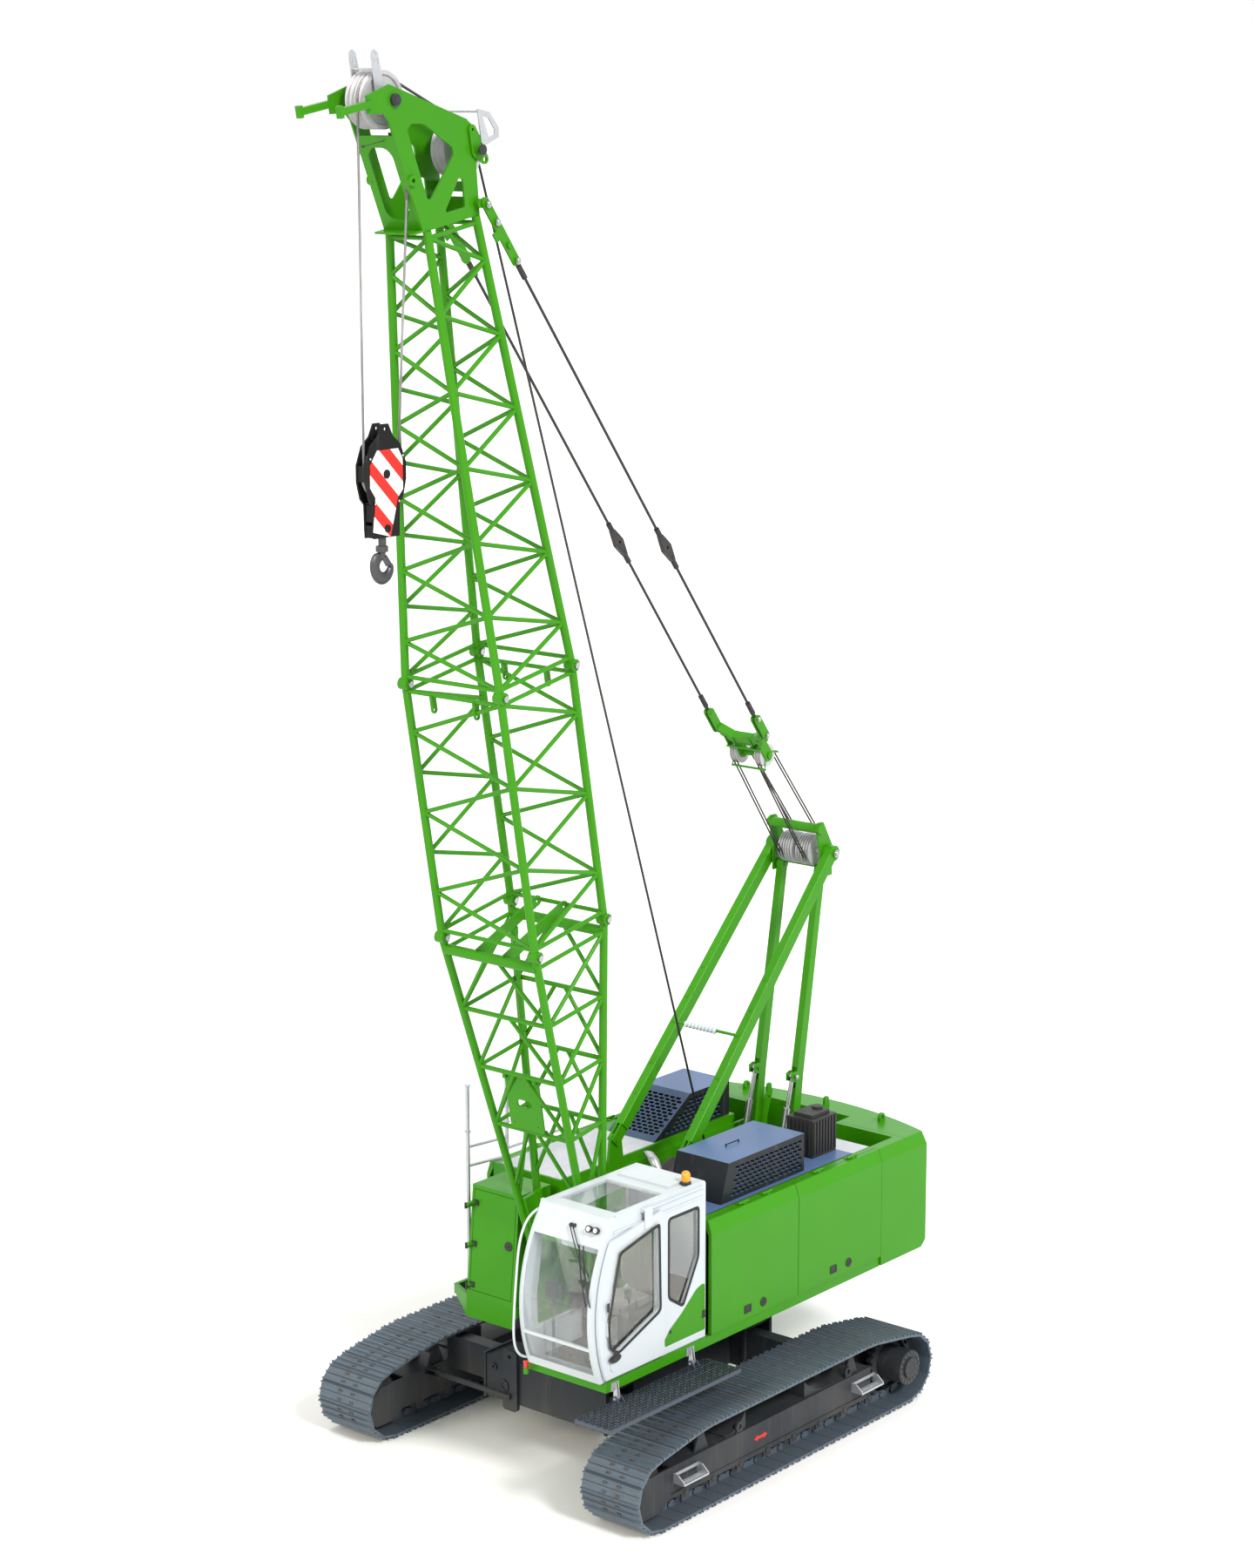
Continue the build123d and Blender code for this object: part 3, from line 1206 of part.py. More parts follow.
with BuildPart() as boom_head:
    for y in (head_half_width + head_plate / 2, -head_half_width + head_plate / 2):
        with BuildSketch(boom_plane(y)):
            with BuildLine():
                Polyline(*head_outline, close=True)
            make_face()
            add(pane(head_window, 0, 40), mode=Mode.SUBTRACT)
            add(pane(base_window, 0, 20), mode=Mode.SUBTRACT)
            with Locations((head_axle_along, head_axle_across)):
                Circle(50.5, mode=Mode.SUBTRACT)
        extrude(amount=head_plate)
    # front web with its long window
    with BuildSketch(Plane(origin=boom_point(head_low, 0, head_front - 55), x_dir=front_along, z_dir=front_inward)):
        with Locations((web_length / 2, 0)):
            Rectangle(web_length, 2 * head_half_width + head_plate)
            RectangleRounded(680, 290, 110, mode=Mode.SUBTRACT)
    extrude(amount=14)
    # base ring and rear web
    with BuildSketch(boom_cut(head_low)):
        with Locations((0, -(head_back - head_front) / 2 - head_front)):
            Rectangle(2 * head_half_width + head_plate, head_back - head_front + 100)
            RectangleRounded(300, 420, 60, mode=Mode.SUBTRACT)
    extrude(amount=20)
    with BuildSketch(boom_plane(head_half_width)):
        with Locations((head_start + 85, head_back + 38)):
            Rectangle(150, 14)
        with Locations((rear_axle_along - 315, head_back + 38)):
            Rectangle(90, 14)
    extrude(amount=2 * head_half_width)
    # flanges on the top beams
    for y in (head_half_width + head_plate / 2, -head_half_width + 60 - head_plate / 2):
        with BuildSketch(boom_plane(y)):
            with BuildLine():
                Polyline((head_axle_along - 21, head_axle_across + 275), (rear_axle_along + 282, rear_axle_across - 70),
                         (rear_axle_along + 268, rear_axle_across - 78),
                         (head_axle_along - 35, head_axle_across + 267), close=True)
            make_face()
        extrude(amount=60)
    # rear axle, ear plates, front bosses, stay bosses, stub arms
    add([tube(boom_point(rear_axle_along, -head_half_width - 50, rear_axle_across),
              boom_point(rear_axle_along, head_half_width + 50, rear_axle_across), 45)])
    for y in (head_half_width + head_plate / 2 + 22, -head_half_width - head_plate / 2 + 1):
        with BuildSketch(boom_plane(y)) as ear:
            with Locations((rear_axle_along, rear_axle_across)):
                Circle(78)
            with Locations((rear_axle_along + 183, rear_axle_across - 33)):
                Circle(44)
            with Locations((rear_axle_along - 100, rear_axle_across + 79)):
                Circle(44)
            make_hull()
            with Locations((rear_axle_along + 183, rear_axle_across - 33)):
                Circle(14, mode=Mode.SUBTRACT)
            with Locations((rear_axle_along - 100, rear_axle_across + 79)):
                Circle(22, mode=Mode.SUBTRACT)
        extrude(amount=23)
    for side in (1, -1):
        add([tube(boom_point(11217, side * 195, -372), boom_point(11217, side * 262, -372), 48)])
        add([tube(boom_point(stay_pin_along, side * (head_half_width - 10), stay_pin_across - 40),
                  boom_point(stay_pin_along, side * (stay_y - 10.3), stay_pin_across - 40), 42)])
        with BuildSketch(boom_plane(side * 240 + 28)):
            with Locations((head_axle_along + 20, head_axle_across - 495)):
                Rectangle(62, 390)
            with Locations((head_axle_along + 20, head_axle_across - 672)):
                Rectangle(104, 40)
        extrude(amount=56)
    for side in (1, -1):
        add([tube(boom_point(11217, side * 180, -372), boom_point(11217, side * 270, -372), 20)], mode=Mode.SUBTRACT)

# grey rope guards over the head sheaves and behind the rear sheaves
with BuildPart() as head_guards:
    for side in (1, -1):
        with BuildSketch(boom_plane(side * 131 + 6)) as lug:
            with BuildLine():
                Polyline((11985, -450), (11990, -556), (12330, -550), (12372, -508), (12330, -466), (12090, -450),
                         close=True)
            make_face()
            fillet([v for v in lug.vertices() if v.X > 12300], 18)
            with Locations((12330, -508), (12275, -490), (12275, -526), (12245, -490)):
                Circle(10, mode=Mode.SUBTRACT)
        extrude(amount=12)
        add([tube(boom_point(12012, side * 126, -505),
                  boom_point(12012, side * (head_half_width - head_plate / 2 - running_gap), -505), 17)])
        with BuildSketch(boom_plane(side * (head_half_width + head_plate / 2 + 27.3) + 5)) as sector:
            with BuildLine():
                Polyline((11665, 540), (11612, 690), (11455, 785), (11375, 770), (11335, 570), (11372, 540),
                         close=True)
            make_face()
            with BuildLine():
                Polyline((11600, 590), (11560, 670), (11450, 730), (11410, 720), (11395, 640), close=True)
            make_face(mode=Mode.SUBTRACT)
        extrude(amount=10)
    add([tube(boom_point(12201, -137, -526), boom_point(12201, 137, -526), 9)])
    add([tube(boom_point(11640, -262, 556), boom_point(11640, 262, 556), 9)])


def sheave(centre, radius, bore):
    """One grooved rope sheave on an axle across the machine."""
    half = sheave_width / 2
    web = 11
    with BuildPart(mode=Mode.PRIVATE) as wheel:
        with BuildSketch(Plane(origin=centre, x_dir=(1, 0, 0), z_dir=(0, 0, 1))):
            with BuildLine():
                Polyline((bore, -half), (0.45 * radius, -half), (0.52 * radius, -web), (0.82 * radius, -web),
                         (0.86 * radius, -half), (radius, -half), (0.89 * radius, -6), (0.89 * radius, 6),
                         (radius, half), (0.86 * radius, half), (0.82 * radius, web), (0.52 * radius, web),
                         (0.45 * radius, half), (bore, half), close=True)
            make_face()
        revolve(axis=Axis(centre, (0, 1, 0)))
    return wheel.part


sheave_pitch = sheave_width + 2
with BuildPart() as rear_sheaves:
    for i in (-1, 0, 1):
        add(sheave(boom_point(rear_axle_along, i * sheave_pitch, rear_axle_across), sheave_radius, 45.3))

with BuildPart() as head_sheaves:
    for i in (-1.5, -0.5, 0.5, 1.5):
        add(sheave(boom_point(head_axle_along, i * sheave_pitch, head_axle_across), sheave_radius, 45))
    add([tube(boom_point(head_axle_along, -head_half_width - 40, head_axle_across),
              boom_point(head_axle_along, head_half_width + 40, head_axle_across), 50)])

# ---- Stays and bridle ---------------------------------------------------------------------
stay_top = boom_point(stay_pin_along, 0, stay_pin_across)
stay_span = Vector(gantry_head_x, 0, gantry_head_z) - Vector(stay_top.X, 0, stay_top.Z)
stay_dir = stay_span.normalized()
stay_rope_radius = 14
socket_radius = 27
fall_length = 1700
bridle_along = stay_span.length - fall_length
link_length = 700
mid_link_along = 4200
lower_socket_along = 6480
bridle_sheave_radius = 150


def stay_point(along, y, lift=0):
    """A point along the line from the boom head's stay pin to the gantry head."""
    base = Vector(stay_top.X, y, stay_top.Z) + stay_dir * along
    return base + Vector(stay_dir.Z, 0, -stay_dir.X) * lift


def stay_plane(along, y):
    """A plane along the stays at one place; local x runs down the stay, extrusions run to -Y."""
    return Plane(origin=stay_point(along, y), x_dir=stay_dir, z_dir=(0, -1, 0))


with BuildPart() as stay_links:
    for y in (stay_y, -stay_y):
        # upper link with four bolts and its lifting flange
        with BuildSketch(stay_plane(0, y + 10)):
            with Locations((link_length / 2 - 20, 0)):
                SlotOverall(link_length + 60, 96)
        extrude(amount=20)
        for along in (20, 220, 480, 660):
            add([tube(stay_point(along, y - 9), stay_point(along, y + 32 * (1 if y > 0 else -1)), 27)])
        with BuildSketch(stay_plane(0, y + 10)):
            with Locations((330, 70)):
                Rectangle(90, 60)
        extrude(amount=20)
        # lower link pair down to the yoke
        with BuildSketch(stay_plane(lower_socket_along + 90, y + 34)):
            with Locations((120, 0)):
                SlotOverall(330, 90)
        extrude(amount=18)
        with BuildSketch(stay_plane(lower_socket_along + 90, y - 16)):
            with Locations((120, 0)):
                SlotOverall(330, 90)
        extrude(amount=18)
        for along in (lower_socket_along + 90, lower_socket_along + 330):
            add([tube(stay_point(along, y - 41.7), stay_point(along, y + 41.7), 24)])

with BuildPart() as pendants:
    for y in (stay_y, -stay_y):
        add([tube(stay_point(link_length + 30, y), stay_point(mid_link_along - 100, y), stay_rope_radius)])
        add([tube(stay_point(mid_link_along + 100, y), stay_point(lower_socket_along + 65.7, y), stay_rope_radius)])
        for along in (link_length + 10.3, mid_link_along - 250, mid_link_along + 110, lower_socket_along - 140):
            add([tube(stay_point(along, y), stay_point(along + 150, y), socket_radius)])
        with BuildSketch(stay_plane(mid_link_along, y + 24)) as joint_link:
            Circle(58)
            with Locations((-150, 0), (150, 0)):
                Circle(24)
            make_hull()
            with Locations((-8, 0)):
                Circle(16, mode=Mode.SUBTRACT)
        extrude(amount=48)

with BuildPart() as bridle:
    # curved yoke beam between the lower links
    with BuildSketch(Plane(origin=stay_point(bridle_along + 20, 0, 0), x_dir=(0, 1, 0),
                           z_dir=stay_plane(0, 0).y_dir)):
        with BuildLine():
            Polyline((-stay_y + 42, 125), (-120, 30), (120, 30), (stay_y - 42, 125), (stay_y - 42, 35), (120, -65),
                     (-120, -65), (-stay_y + 42, 35), close=True)
        make_face()
    extrude(amount=45, both=True)
    # block plates, spacer rods and sheave axle
    for y in (216, 116, -100, -200):
        with BuildSketch(stay_plane(bridle_along + 60, y)) as cheek_plate:
            Rectangle(130, 110)
            with Locations((190, 0)):
                Circle(60)
            make_hull()
        extrude(amount=16)
    add([tube(stay_point(bridle_along + 250, -235), stay_point(bridle_along + 250, 235), 32)])
    for along, lift in ((110, 70), (110, -70), (330, 130), (330, -130)):
        add([tube(stay_point(bridle_along + along, -216, lift), stay_point(bridle_along + along, 216, lift), 12)])
    for y in (216, -200):
        for lift in (1, -1):
            add([tube(stay_point(bridle_along + 210, y - 8, 20 * lift),
                      stay_point(bridle_along + 330, y - 8, 130 * lift), 6)])

groove_width = 17
with BuildPart() as bridle_sheaves:
    for low, high in ((117, 199), (-199, -117)):
        add([tube(stay_point(bridle_along + 250, low), stay_point(bridle_along + 250, high), 108)])
        for i in range(5):
            y = low + 4 + i * (high - low - 8) / 4
            add([tube(stay_point(bridle_along + 250, y - 4), stay_point(bridle_along + 250, y + 4), 120)])
    add([tube(stay_point(bridle_along + 250, -240), stay_point(bridle_along + 250, 240), 32 + running_gap)],
        mode=Mode.SUBTRACT)

# ---- Gantry -------------------------------------------------------------------------------
leg_width = 100
leg_depth = 130
fork_length = 150
spacer_share = 0.36
knee_x, knee_z = rear_leg_knee


def leg_point(share, side, lift=0):
    """A point up one front leg's axis, from its foot pin to the gantry head."""
    start = Vector(gantry_foot_x, side * gantry_foot_y, gantry_foot_z)
    end = Vector(gantry_head_x, side * (gantry_head_y + leg_width / 2 + running_gap), gantry_head_z)
    return start + (end - start) * share + Vector(0, 0, lift)


with BuildPart() as gantry_front_legs:
    for side in (1, -1):
        start = leg_point(0, side)
        end = leg_point(1, side)
        axis = (end - start).normalized()
        leg_plane = Plane(origin=start, x_dir=axis.cross(Vector(0, 1, 0)), z_dir=axis)
        with BuildSketch(leg_plane.offset(fork_length)):
            RectangleRounded(leg_depth, leg_width, 12)
        extrude(amount=(end - start).length - fork_length + 40)
        with BuildSketch(leg_plane.offset(-50)):
            for y in (plate_thick / 2 + 12, -plate_thick / 2 - 12):
                with Locations((0, y)):
                    Rectangle(leg_depth, 20)
        extrude(amount=fork_length + 60)
        add([tube(start - Vector(0, 45, 0), start + Vector(0, 45, 0), gantry_pin)])
        add([tube(end - Vector(0, 52, 0), end + Vector(0, 52, 0), 82)])
        add([tube(end, end + Vector(0, side * 70, 0), 40)])
        for share in (0.14, 0.24, 0.46, 0.56):
            place = leg_point(share, side)
            add([tube(place, place + leg_plane.x_dir * -(leg_depth / 2 + 8), 12)])
    # spacer rod between the front legs
    add([tube(leg_point(spacer_share, 1, 90), leg_point(spacer_share, -1, 90), 16)])
    for side in (1, -1):
        add([tube(leg_point(spacer_share, side, 90), leg_point(spacer_share, side, -10), 22)])

with BuildPart() as gantry_rear_legs:
    for side in (1, -1):
        y = side * rear_leg_y
        with BuildSketch(xz_at(y + 40)):
            with BuildLine():
                Polyline((rear_leg_top[0] - 42, rear_leg_top[1]), (rear_leg_top[0] + 42, rear_leg_top[1]),
                         (knee_x + 52, knee_z), (rear_leg_foot[0] + 60, rear_leg_foot[1]),
                         (rear_leg_foot[0] - 70, rear_leg_foot[1]), (knee_x - 60, knee_z), close=True)
            make_face()
            with Locations(rear_leg_top):
                Circle(52)
            with Locations((knee_x + cylinder_offset, knee_z)):
                Circle(58)
                Rectangle(120, 90)
        extrude(amount=80)
        # slot that takes the cylinder rod's eye, and its pin
        with BuildSketch(xz_at(y + 30)):
            with Locations((knee_x + cylinder_offset + 35, knee_z - 20)):
                Rectangle(190, 220)
        extrude(amount=60, mode=Mode.SUBTRACT)
        add([cross_bar(knee_x + cylinder_offset, knee_z, y - 62, y + 62, 18)])
        add([cross_bar(rear_leg_top[0], rear_leg_top[1], y - 50, y + 50, 24)])

with BuildPart() as gantry_cylinders:
    for y in (rear_leg_y, -rear_leg_y):
        eye = Vector(knee_x + cylinder_offset, y, knee_z)
        base = Vector(-2190, y, 2262)
        add([tube(eye + (base - eye) * 0.03, base, 24)])
        add([tube(eye + (base - eye) * 0.42, base, 40)])
        add([tube(eye - Vector(0, 29.7, 0), eye + Vector(0, 29.7, 0), 34)])
        add([tube(base - Vector(0, 22, 0), base + Vector(0, 22, 0), 31.5)])
        add([tube(eye - Vector(0, 70, 0), eye + Vector(0, 70, 0), 18 + running_gap)], mode=Mode.SUBTRACT)

with BuildPart() as gantry_head:
    for y in (gantry_head_y - 5, -gantry_head_y + 25):
        with BuildSketch(xz_at(y)) as head_cheek:
            with BuildLine():
                Polyline((gantry_head_x - 100, gantry_head_z - 260), (gantry_head_x - 100, gantry_head_z + 60),
                         (gantry_head_x + 60, gantry_head_z + 335), (gantry_head_x + 195, gantry_head_z + 335),
                         (gantry_head_x + 110, gantry_head_z + 10), (gantry_head_x + 110, gantry_head_z - 260),
                         close=True)
            make_face()
            fillet([v for v in head_cheek.vertices() if v.Y > gantry_head_z], 40)
            with Locations((gantry_head_x, gantry_head_z)):
                Circle(40 + running_gap, mode=Mode.SUBTRACT)
            with Locations(rear_leg_top):
                Circle(24 + running_gap, mode=Mode.SUBTRACT)
        extrude(amount=20)
    add([cross_bar(gantry_head_x + 127, gantry_head_z + 265, -gantry_head_y - 20, gantry_head_y + 20, 52)])
    add([cross_bar(gantry_head_x - 60, gantry_head_z - 190, -gantry_head_y + 6, gantry_head_y - 6, 14)])

with BuildPart() as gantry_sheaves:
    for low, high in ((30, 200), (-200, -30)):
        add([cross_bar(gantry_head_x, gantry_head_z, low, high, 146)])
        for i in range(6):
            y = low + 5 + i * (high - low - 10) / 5
            add([cross_bar(gantry_head_x, gantry_head_z, y - 5, y + 5, 165)])
    add([cross_bar(gantry_head_x, gantry_head_z, -gantry_head_y + 3, gantry_head_y - 3, 40)])

# ---- Hook block ---------------------------------------------------------------------------
head_axle = boom_point(head_axle_along, 0, head_axle_across)
hook_x = head_axle.X
block_axle_z = 9900
# cheek outline: x from the block's middle, z from its axle
cheek_outline = ((-40, 440), (40, 440), (95, 330), (190, 250), (255, 90), (255, -60), (215, -215), (170, -265),
                 (160, -560), (-160, -560), (-170, -265), (-215, -215), (-255, -60), (-255, 90), (-190, 250),
                 (-95, 330))
stripe_outline = ((-150, 215), (110, 215), (205, 90), (205, -110), (140, -200), (175, -500), (-40, -555),
                  (-140, -215), (-205, -150), (-205, 120))
cheek_bolts = ((-150, -250), (150, -250), (-205, 148), (205, 148))
with BuildPart() as hook_block:
    for y in (62, -42):
        with BuildSketch(xz_at(y)):
            with Locations((hook_x, block_axle_z)):
                with BuildLine():
                    Polyline(*[(hook_x + dx, block_axle_z + dz) for dx, dz in cheek_outline], close=True)
                make_face()
            with Locations((hook_x, block_axle_z + 395)):
                Circle(17, mode=Mode.SUBTRACT)
        extrude(amount=20)
    # covers over the sheave, spacer plates and the swivel's crosshead
    for dx in (-1, 1):
        for out, dz, length in ((243, 15, 140), (152, -340, 150), (152, -500, 110)):
            with Locations((hook_x + dx * out, 0, block_axle_z + dz)):
                Box(14, 86, length)
    with Locations((hook_x, 0, block_axle_z + 300)):
        Box(150, 86, 14)
    add([cross_bar(hook_x, block_axle_z, -75, 75, 40)])
    for dx, dz in cheek_bolts:
        add([cross_bar(hook_x + dx, block_axle_z + dz, -72, 72, 13)])
    with Locations((hook_x, 0, block_axle_z - 480)):
        Box(180, 100, 120)
    add([cross_bar(hook_x, block_axle_z - 480, -78, 78, 34)])

with BuildPart() as block_panels:
    for y in (62 + running_gap + 6, -62 - running_gap):
        with BuildSketch(xz_at(y)):
            with BuildLine():
                Polyline(*[(hook_x + dx, block_axle_z + dz) for dx, dz in stripe_outline], close=True)
            make_face()
            with Locations((hook_x, block_axle_z)):
                Circle(40 + running_gap, mode=Mode.SUBTRACT)
            with Locations((hook_x, block_axle_z - 480)):
                Circle(34 + running_gap, mode=Mode.SUBTRACT)
            with Locations(*[(hook_x + dx, block_axle_z + dz) for dx, dz in cheek_bolts]):
                Circle(13 + running_gap, mode=Mode.SUBTRACT)
        extrude(amount=6)

with BuildPart() as block_sheave:
    add(sheave((hook_x, 0, block_axle_z), 225, 40 + running_gap))

hook_z = 9070
hook_bow = 98
with BuildPart() as hook:
    # the bow swells from the shank to its lowest point and thins to the tip: angle, radius
    with BuildLine() as bow:
        CenterArc((0, 0, 0), hook_bow, 78, -268)
    bow_wire = bow.wires()[0]
    for share, thick in ((0, 36), (0.3, 52), (0.62, 56), (0.85, 42), (1, 24)):
        spot = bow_wire @ share
        way = bow_wire % share
        with BuildSketch(Plane(origin=(hook_x + spot.X, 0, hook_z + spot.Y), x_dir=(0, 1, 0), z_dir=(way.X, 0, way.Y))):
            Ellipse(thick * 0.72, thick)
    loft()
    add([tube((hook_x + 20, 0, hook_z + 90), (hook_x, 0, hook_z + 170), 36)])
    add([tube((hook_x, 0, hook_z + 150), (hook_x, 0, block_axle_z - 540 - running_gap), 36)])
    with Locations((hook_x + 5, 0, hook_z + 165)):
        Cylinder(56, 50)
    # spring latch across the throat
    with BuildSketch(Plane(origin=(hook_x, 34, hook_z), x_dir=(1, 0, 0), z_dir=(0, -1, 0))):
        with BuildLine():
            Polyline((-20, 110), (8, 118), (-72, -2), (-98, 6), close=True)
        make_face()
    extrude(amount=68)

# ---- Files --------------------------------------------------------------------------------
nodes = {
    "centre_frame": centre_frame,
    "slew_ring": slew_ring,
    "left_track_frame": left_track_frame,
    "left_beams": left_beams,
    "left_track_loop": left_track_loop,
    "left_drive_sprocket": left_drive_sprocket,
    "left_rollers": left_rollers,
    "left_steps": left_steps,
    "right_track_frame": right_track_frame,
    "right_beams": right_beams,
    "right_track_loop": right_track_loop,
    "right_drive_sprocket": right_drive_sprocket,
    "right_rollers": right_rollers,
    "right_steps": right_steps,
    "main_frame": main_frame,
    "left_house": left_house,
    "right_house": right_house,
    "left_door_front": left_door_front,
    "left_door_rear": left_door_rear,
    "right_door_front": right_door_front,
    "right_door_rear": right_door_rear,
    "engine": engine,
    "left_hood": left_hood,
    "right_hood": right_hood,
    "air_cleaner": air_cleaner,
    "exhaust": exhaust,
    "counterweight": counterweight,
    "winches": winches,
    "cab_shell": cab_shell,
    "cab_glass": cab_glass,
    "cab_door": cab_door,
    "cab_door_glass": cab_door_glass,
    "cab_seat": cab_seat,
    "cab_controls": cab_controls,
    "lamps": lamps,
    "catwalk": catwalk,
    "locker": locker,
    "locker_door": locker_door,
    "fittings": fittings,
    "boom_foot": boom_foot,
    "strut": strut,
    "boom_insert": boom_insert,
    "boom_top": boom_top,
    "boom_head": boom_head,
    "head_guards": head_guards,
    "rear_sheaves": rear_sheaves,
    "head_sheaves": head_sheaves,
    "stay_links": stay_links,
    "pendants": pendants,
    "bridle": bridle,
    "bridle_sheaves": bridle_sheaves,
    "gantry_front_legs": gantry_front_legs,
    "gantry_rear_legs": gantry_rear_legs,
    "gantry_cylinders": gantry_cylinders,
    "gantry_head": gantry_head,
    "gantry_sheaves": gantry_sheaves,
    "hook_block": hook_block,
    "block_panels": block_panels,
    "block_sheave": block_sheave,
    "hook": hook,
}
for name, built in nodes.items():
    built.part.label = name
    export_step(built.part, f"parts/{name}.step")
    print(name, round(built.part.volume / 1e9, 4), len(built.part.solids()))
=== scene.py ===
"""A lattice-boom crawler crane: the looks of its CAD frame."""
# %% [markdown]
# # A crawler crane around its CAD frame
# The solids of the machine come from its CAD frame: track frames, house, cab, lattice boom, gantry and hook
# block. This file gives them their paint and metal, and adds what a solid model leaves out: the links and shoes
# of the tracks, the ropes, the bolts and the trim. Each piece moves with the body that carries it. The frame is
# loaded first, because every later cell sets its pieces on the frame's bodies.

# %% Start: the frame
import math
import bpy
import numpy as np
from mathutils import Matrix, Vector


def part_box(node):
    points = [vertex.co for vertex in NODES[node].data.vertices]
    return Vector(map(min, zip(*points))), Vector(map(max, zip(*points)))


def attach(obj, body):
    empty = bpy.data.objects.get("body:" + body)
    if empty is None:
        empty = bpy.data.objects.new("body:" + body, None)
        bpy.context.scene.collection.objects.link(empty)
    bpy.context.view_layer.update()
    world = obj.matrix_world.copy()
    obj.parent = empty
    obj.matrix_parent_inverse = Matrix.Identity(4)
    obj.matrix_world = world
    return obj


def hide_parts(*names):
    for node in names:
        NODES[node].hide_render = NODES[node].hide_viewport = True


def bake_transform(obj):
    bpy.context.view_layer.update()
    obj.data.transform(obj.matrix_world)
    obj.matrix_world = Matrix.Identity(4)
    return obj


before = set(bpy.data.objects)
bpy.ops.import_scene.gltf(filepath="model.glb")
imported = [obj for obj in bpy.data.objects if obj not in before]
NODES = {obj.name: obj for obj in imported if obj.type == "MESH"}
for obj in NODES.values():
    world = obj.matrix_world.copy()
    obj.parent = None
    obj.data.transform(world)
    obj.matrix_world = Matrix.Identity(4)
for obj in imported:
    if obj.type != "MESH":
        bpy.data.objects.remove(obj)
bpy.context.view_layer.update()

# %% [markdown]
# ## Meshes from arrays
# A piece is a table of points and tables of faces. Faces with the same number of corners share a table, so a
# whole row of bolts or shoes is written in a few array operations, with no loop over its points. Repeated small
# things are joined into one mesh, because the machine carries hundreds of them.

# %% Meshes from arrays
def mesh_object(name, points, faces, material, body, smooth=False):
    """A mesh object in the row frame from points (n, 3) and face tables (m, corners); it rides on body."""
    points = np.asarray(points, float).reshape(-1, 3)
    faces = [np.asarray(f, int) for f in faces if len(f)]
    totals = np.concatenate([np.full(len(f), f.shape[1]) for f in faces])
    mesh = bpy.data.meshes.new(name)
    mesh.vertices.add(len(points))
    mesh.vertices.foreach_set("co", points.ravel())
    mesh.loops.add(int(totals.sum()))
    mesh.loops.foreach_set("vertex_index", np.concatenate([f.ravel() for f in faces]))
    mesh.polygons.add(len(totals))
    mesh.polygons.foreach_set("loop_start", np.concatenate([[0], np.cumsum(totals)[:-1]]))
    mesh.polygons.foreach_set("use_smooth", np.full(len(totals), smooth))
    mesh.update(calc_edges=True)
    mesh.validate()
    mesh.materials.append(material)
    obj = bpy.data.objects.new(name, mesh)
    bpy.context.scene.collection.objects.link(obj)
    if body:
        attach(obj, body)
    return obj


def join(*parts):
    """Several (points, faces) pairs as one: each part's face numbers move up by the points before it."""
    starts = np.cumsum([0] + [len(p) for p, _ in parts])
    return np.vstack([p for p, _ in parts]), [f + s for (_, fs), s in zip(parts, starts) for f in fs]


print("array tools ready")

# %% [markdown]
# ## Directions and closed tubes
# Turned pieces, bars and plates are all closed tubes: rings of points, quads between them, and a cap at each end.
# A turning matrix sets each ring square to its axis, whichever way that axis points.

# %% Directions and closed tubes
def frames(directions, up=(0.0, 0.0, 1.0)):
    """Turning matrices, columns side, up, along: along = d / |d|, side = up x along, up = along x side."""
    along = np.atleast_2d(np.asarray(directions, float))
    along = along / np.linalg.norm(along, axis=1, keepdims=True)
    guide = np.where(np.abs(along @ np.asarray(up, float))[:, None] > 0.98, [[0.0, 1.0, 0.02]], [up])
    side = np.cross(guide, along)
    side = side / np.linalg.norm(side, axis=1, keepdims=True)
    return np.stack([side, np.cross(along, side), along], axis=2)


def tubes(points):
    """Points (tubes, rings, sides, 3) as closed tubes: quads between neighbouring rings, a cap at each end."""
    count, rings, sides = points.shape[:3]
    k = np.arange(sides)
    i, j = np.meshgrid(np.arange(rings - 1), k, indexing="ij")
    quads = np.stack([i * sides + j, i * sides + (j + 1) % sides, (i + 1) * sides + (j + 1) % sides,
                      (i + 1) * sides + j], axis=-1).reshape(-1, 4)
    caps = np.array([k[::-1], (rings - 1) * sides + k])
    shift = rings * sides * np.arange(count)[:, None, None]
    return points.reshape(-1, 3), [(quads[None] + shift).reshape(-1, 4), (caps[None] + shift).reshape(-1, sides)]


def circle(radius, sides):
    """A ring (sides, 3) about the third axis: r cos(t), r sin(t), 0."""
    t = np.arange(sides) * 2 * np.pi / sides
    return np.stack([np.cos(t), np.sin(t), 0 * t], axis=1) * radius


print("tube tools: frames, tubes, circle")

# %% [markdown]
# ## Blocks, turned pieces, bars and plates
# Small gear is nearly always a block, a piece turned on a lathe, a round bar, or a flat plate. Each maker works
# out one copy and adds the places of all the others, so a row of forty bolts costs no more work than one.

# %% Blocks, turned pieces, bars and plates
def boxes(centres, sizes):
    """Boxes: corner = centre + size / 2 * (+-1, +-1, +-1)."""
    centres = np.atleast_2d(np.asarray(centres, float))
    sizes = np.broadcast_to(np.asarray(sizes, float), centres.shape)
    signs = np.array([(x, y, z) for z in (-1, 1) for y in (-1, 1) for x in (-1, 1)], float)
    corners = sizes[:, None] / 2 * signs[None] + centres[:, None]
    quads = np.array([(0, 2, 3, 1), (4, 5, 7, 6), (0, 1, 5, 4), (2, 6, 7, 3), (0, 4, 6, 2), (1, 3, 7, 5)])
    shift = 8 * np.arange(len(centres))[:, None, None]
    return corners.reshape(-1, 3), [(quads[None] + shift).reshape(-1, 4)]


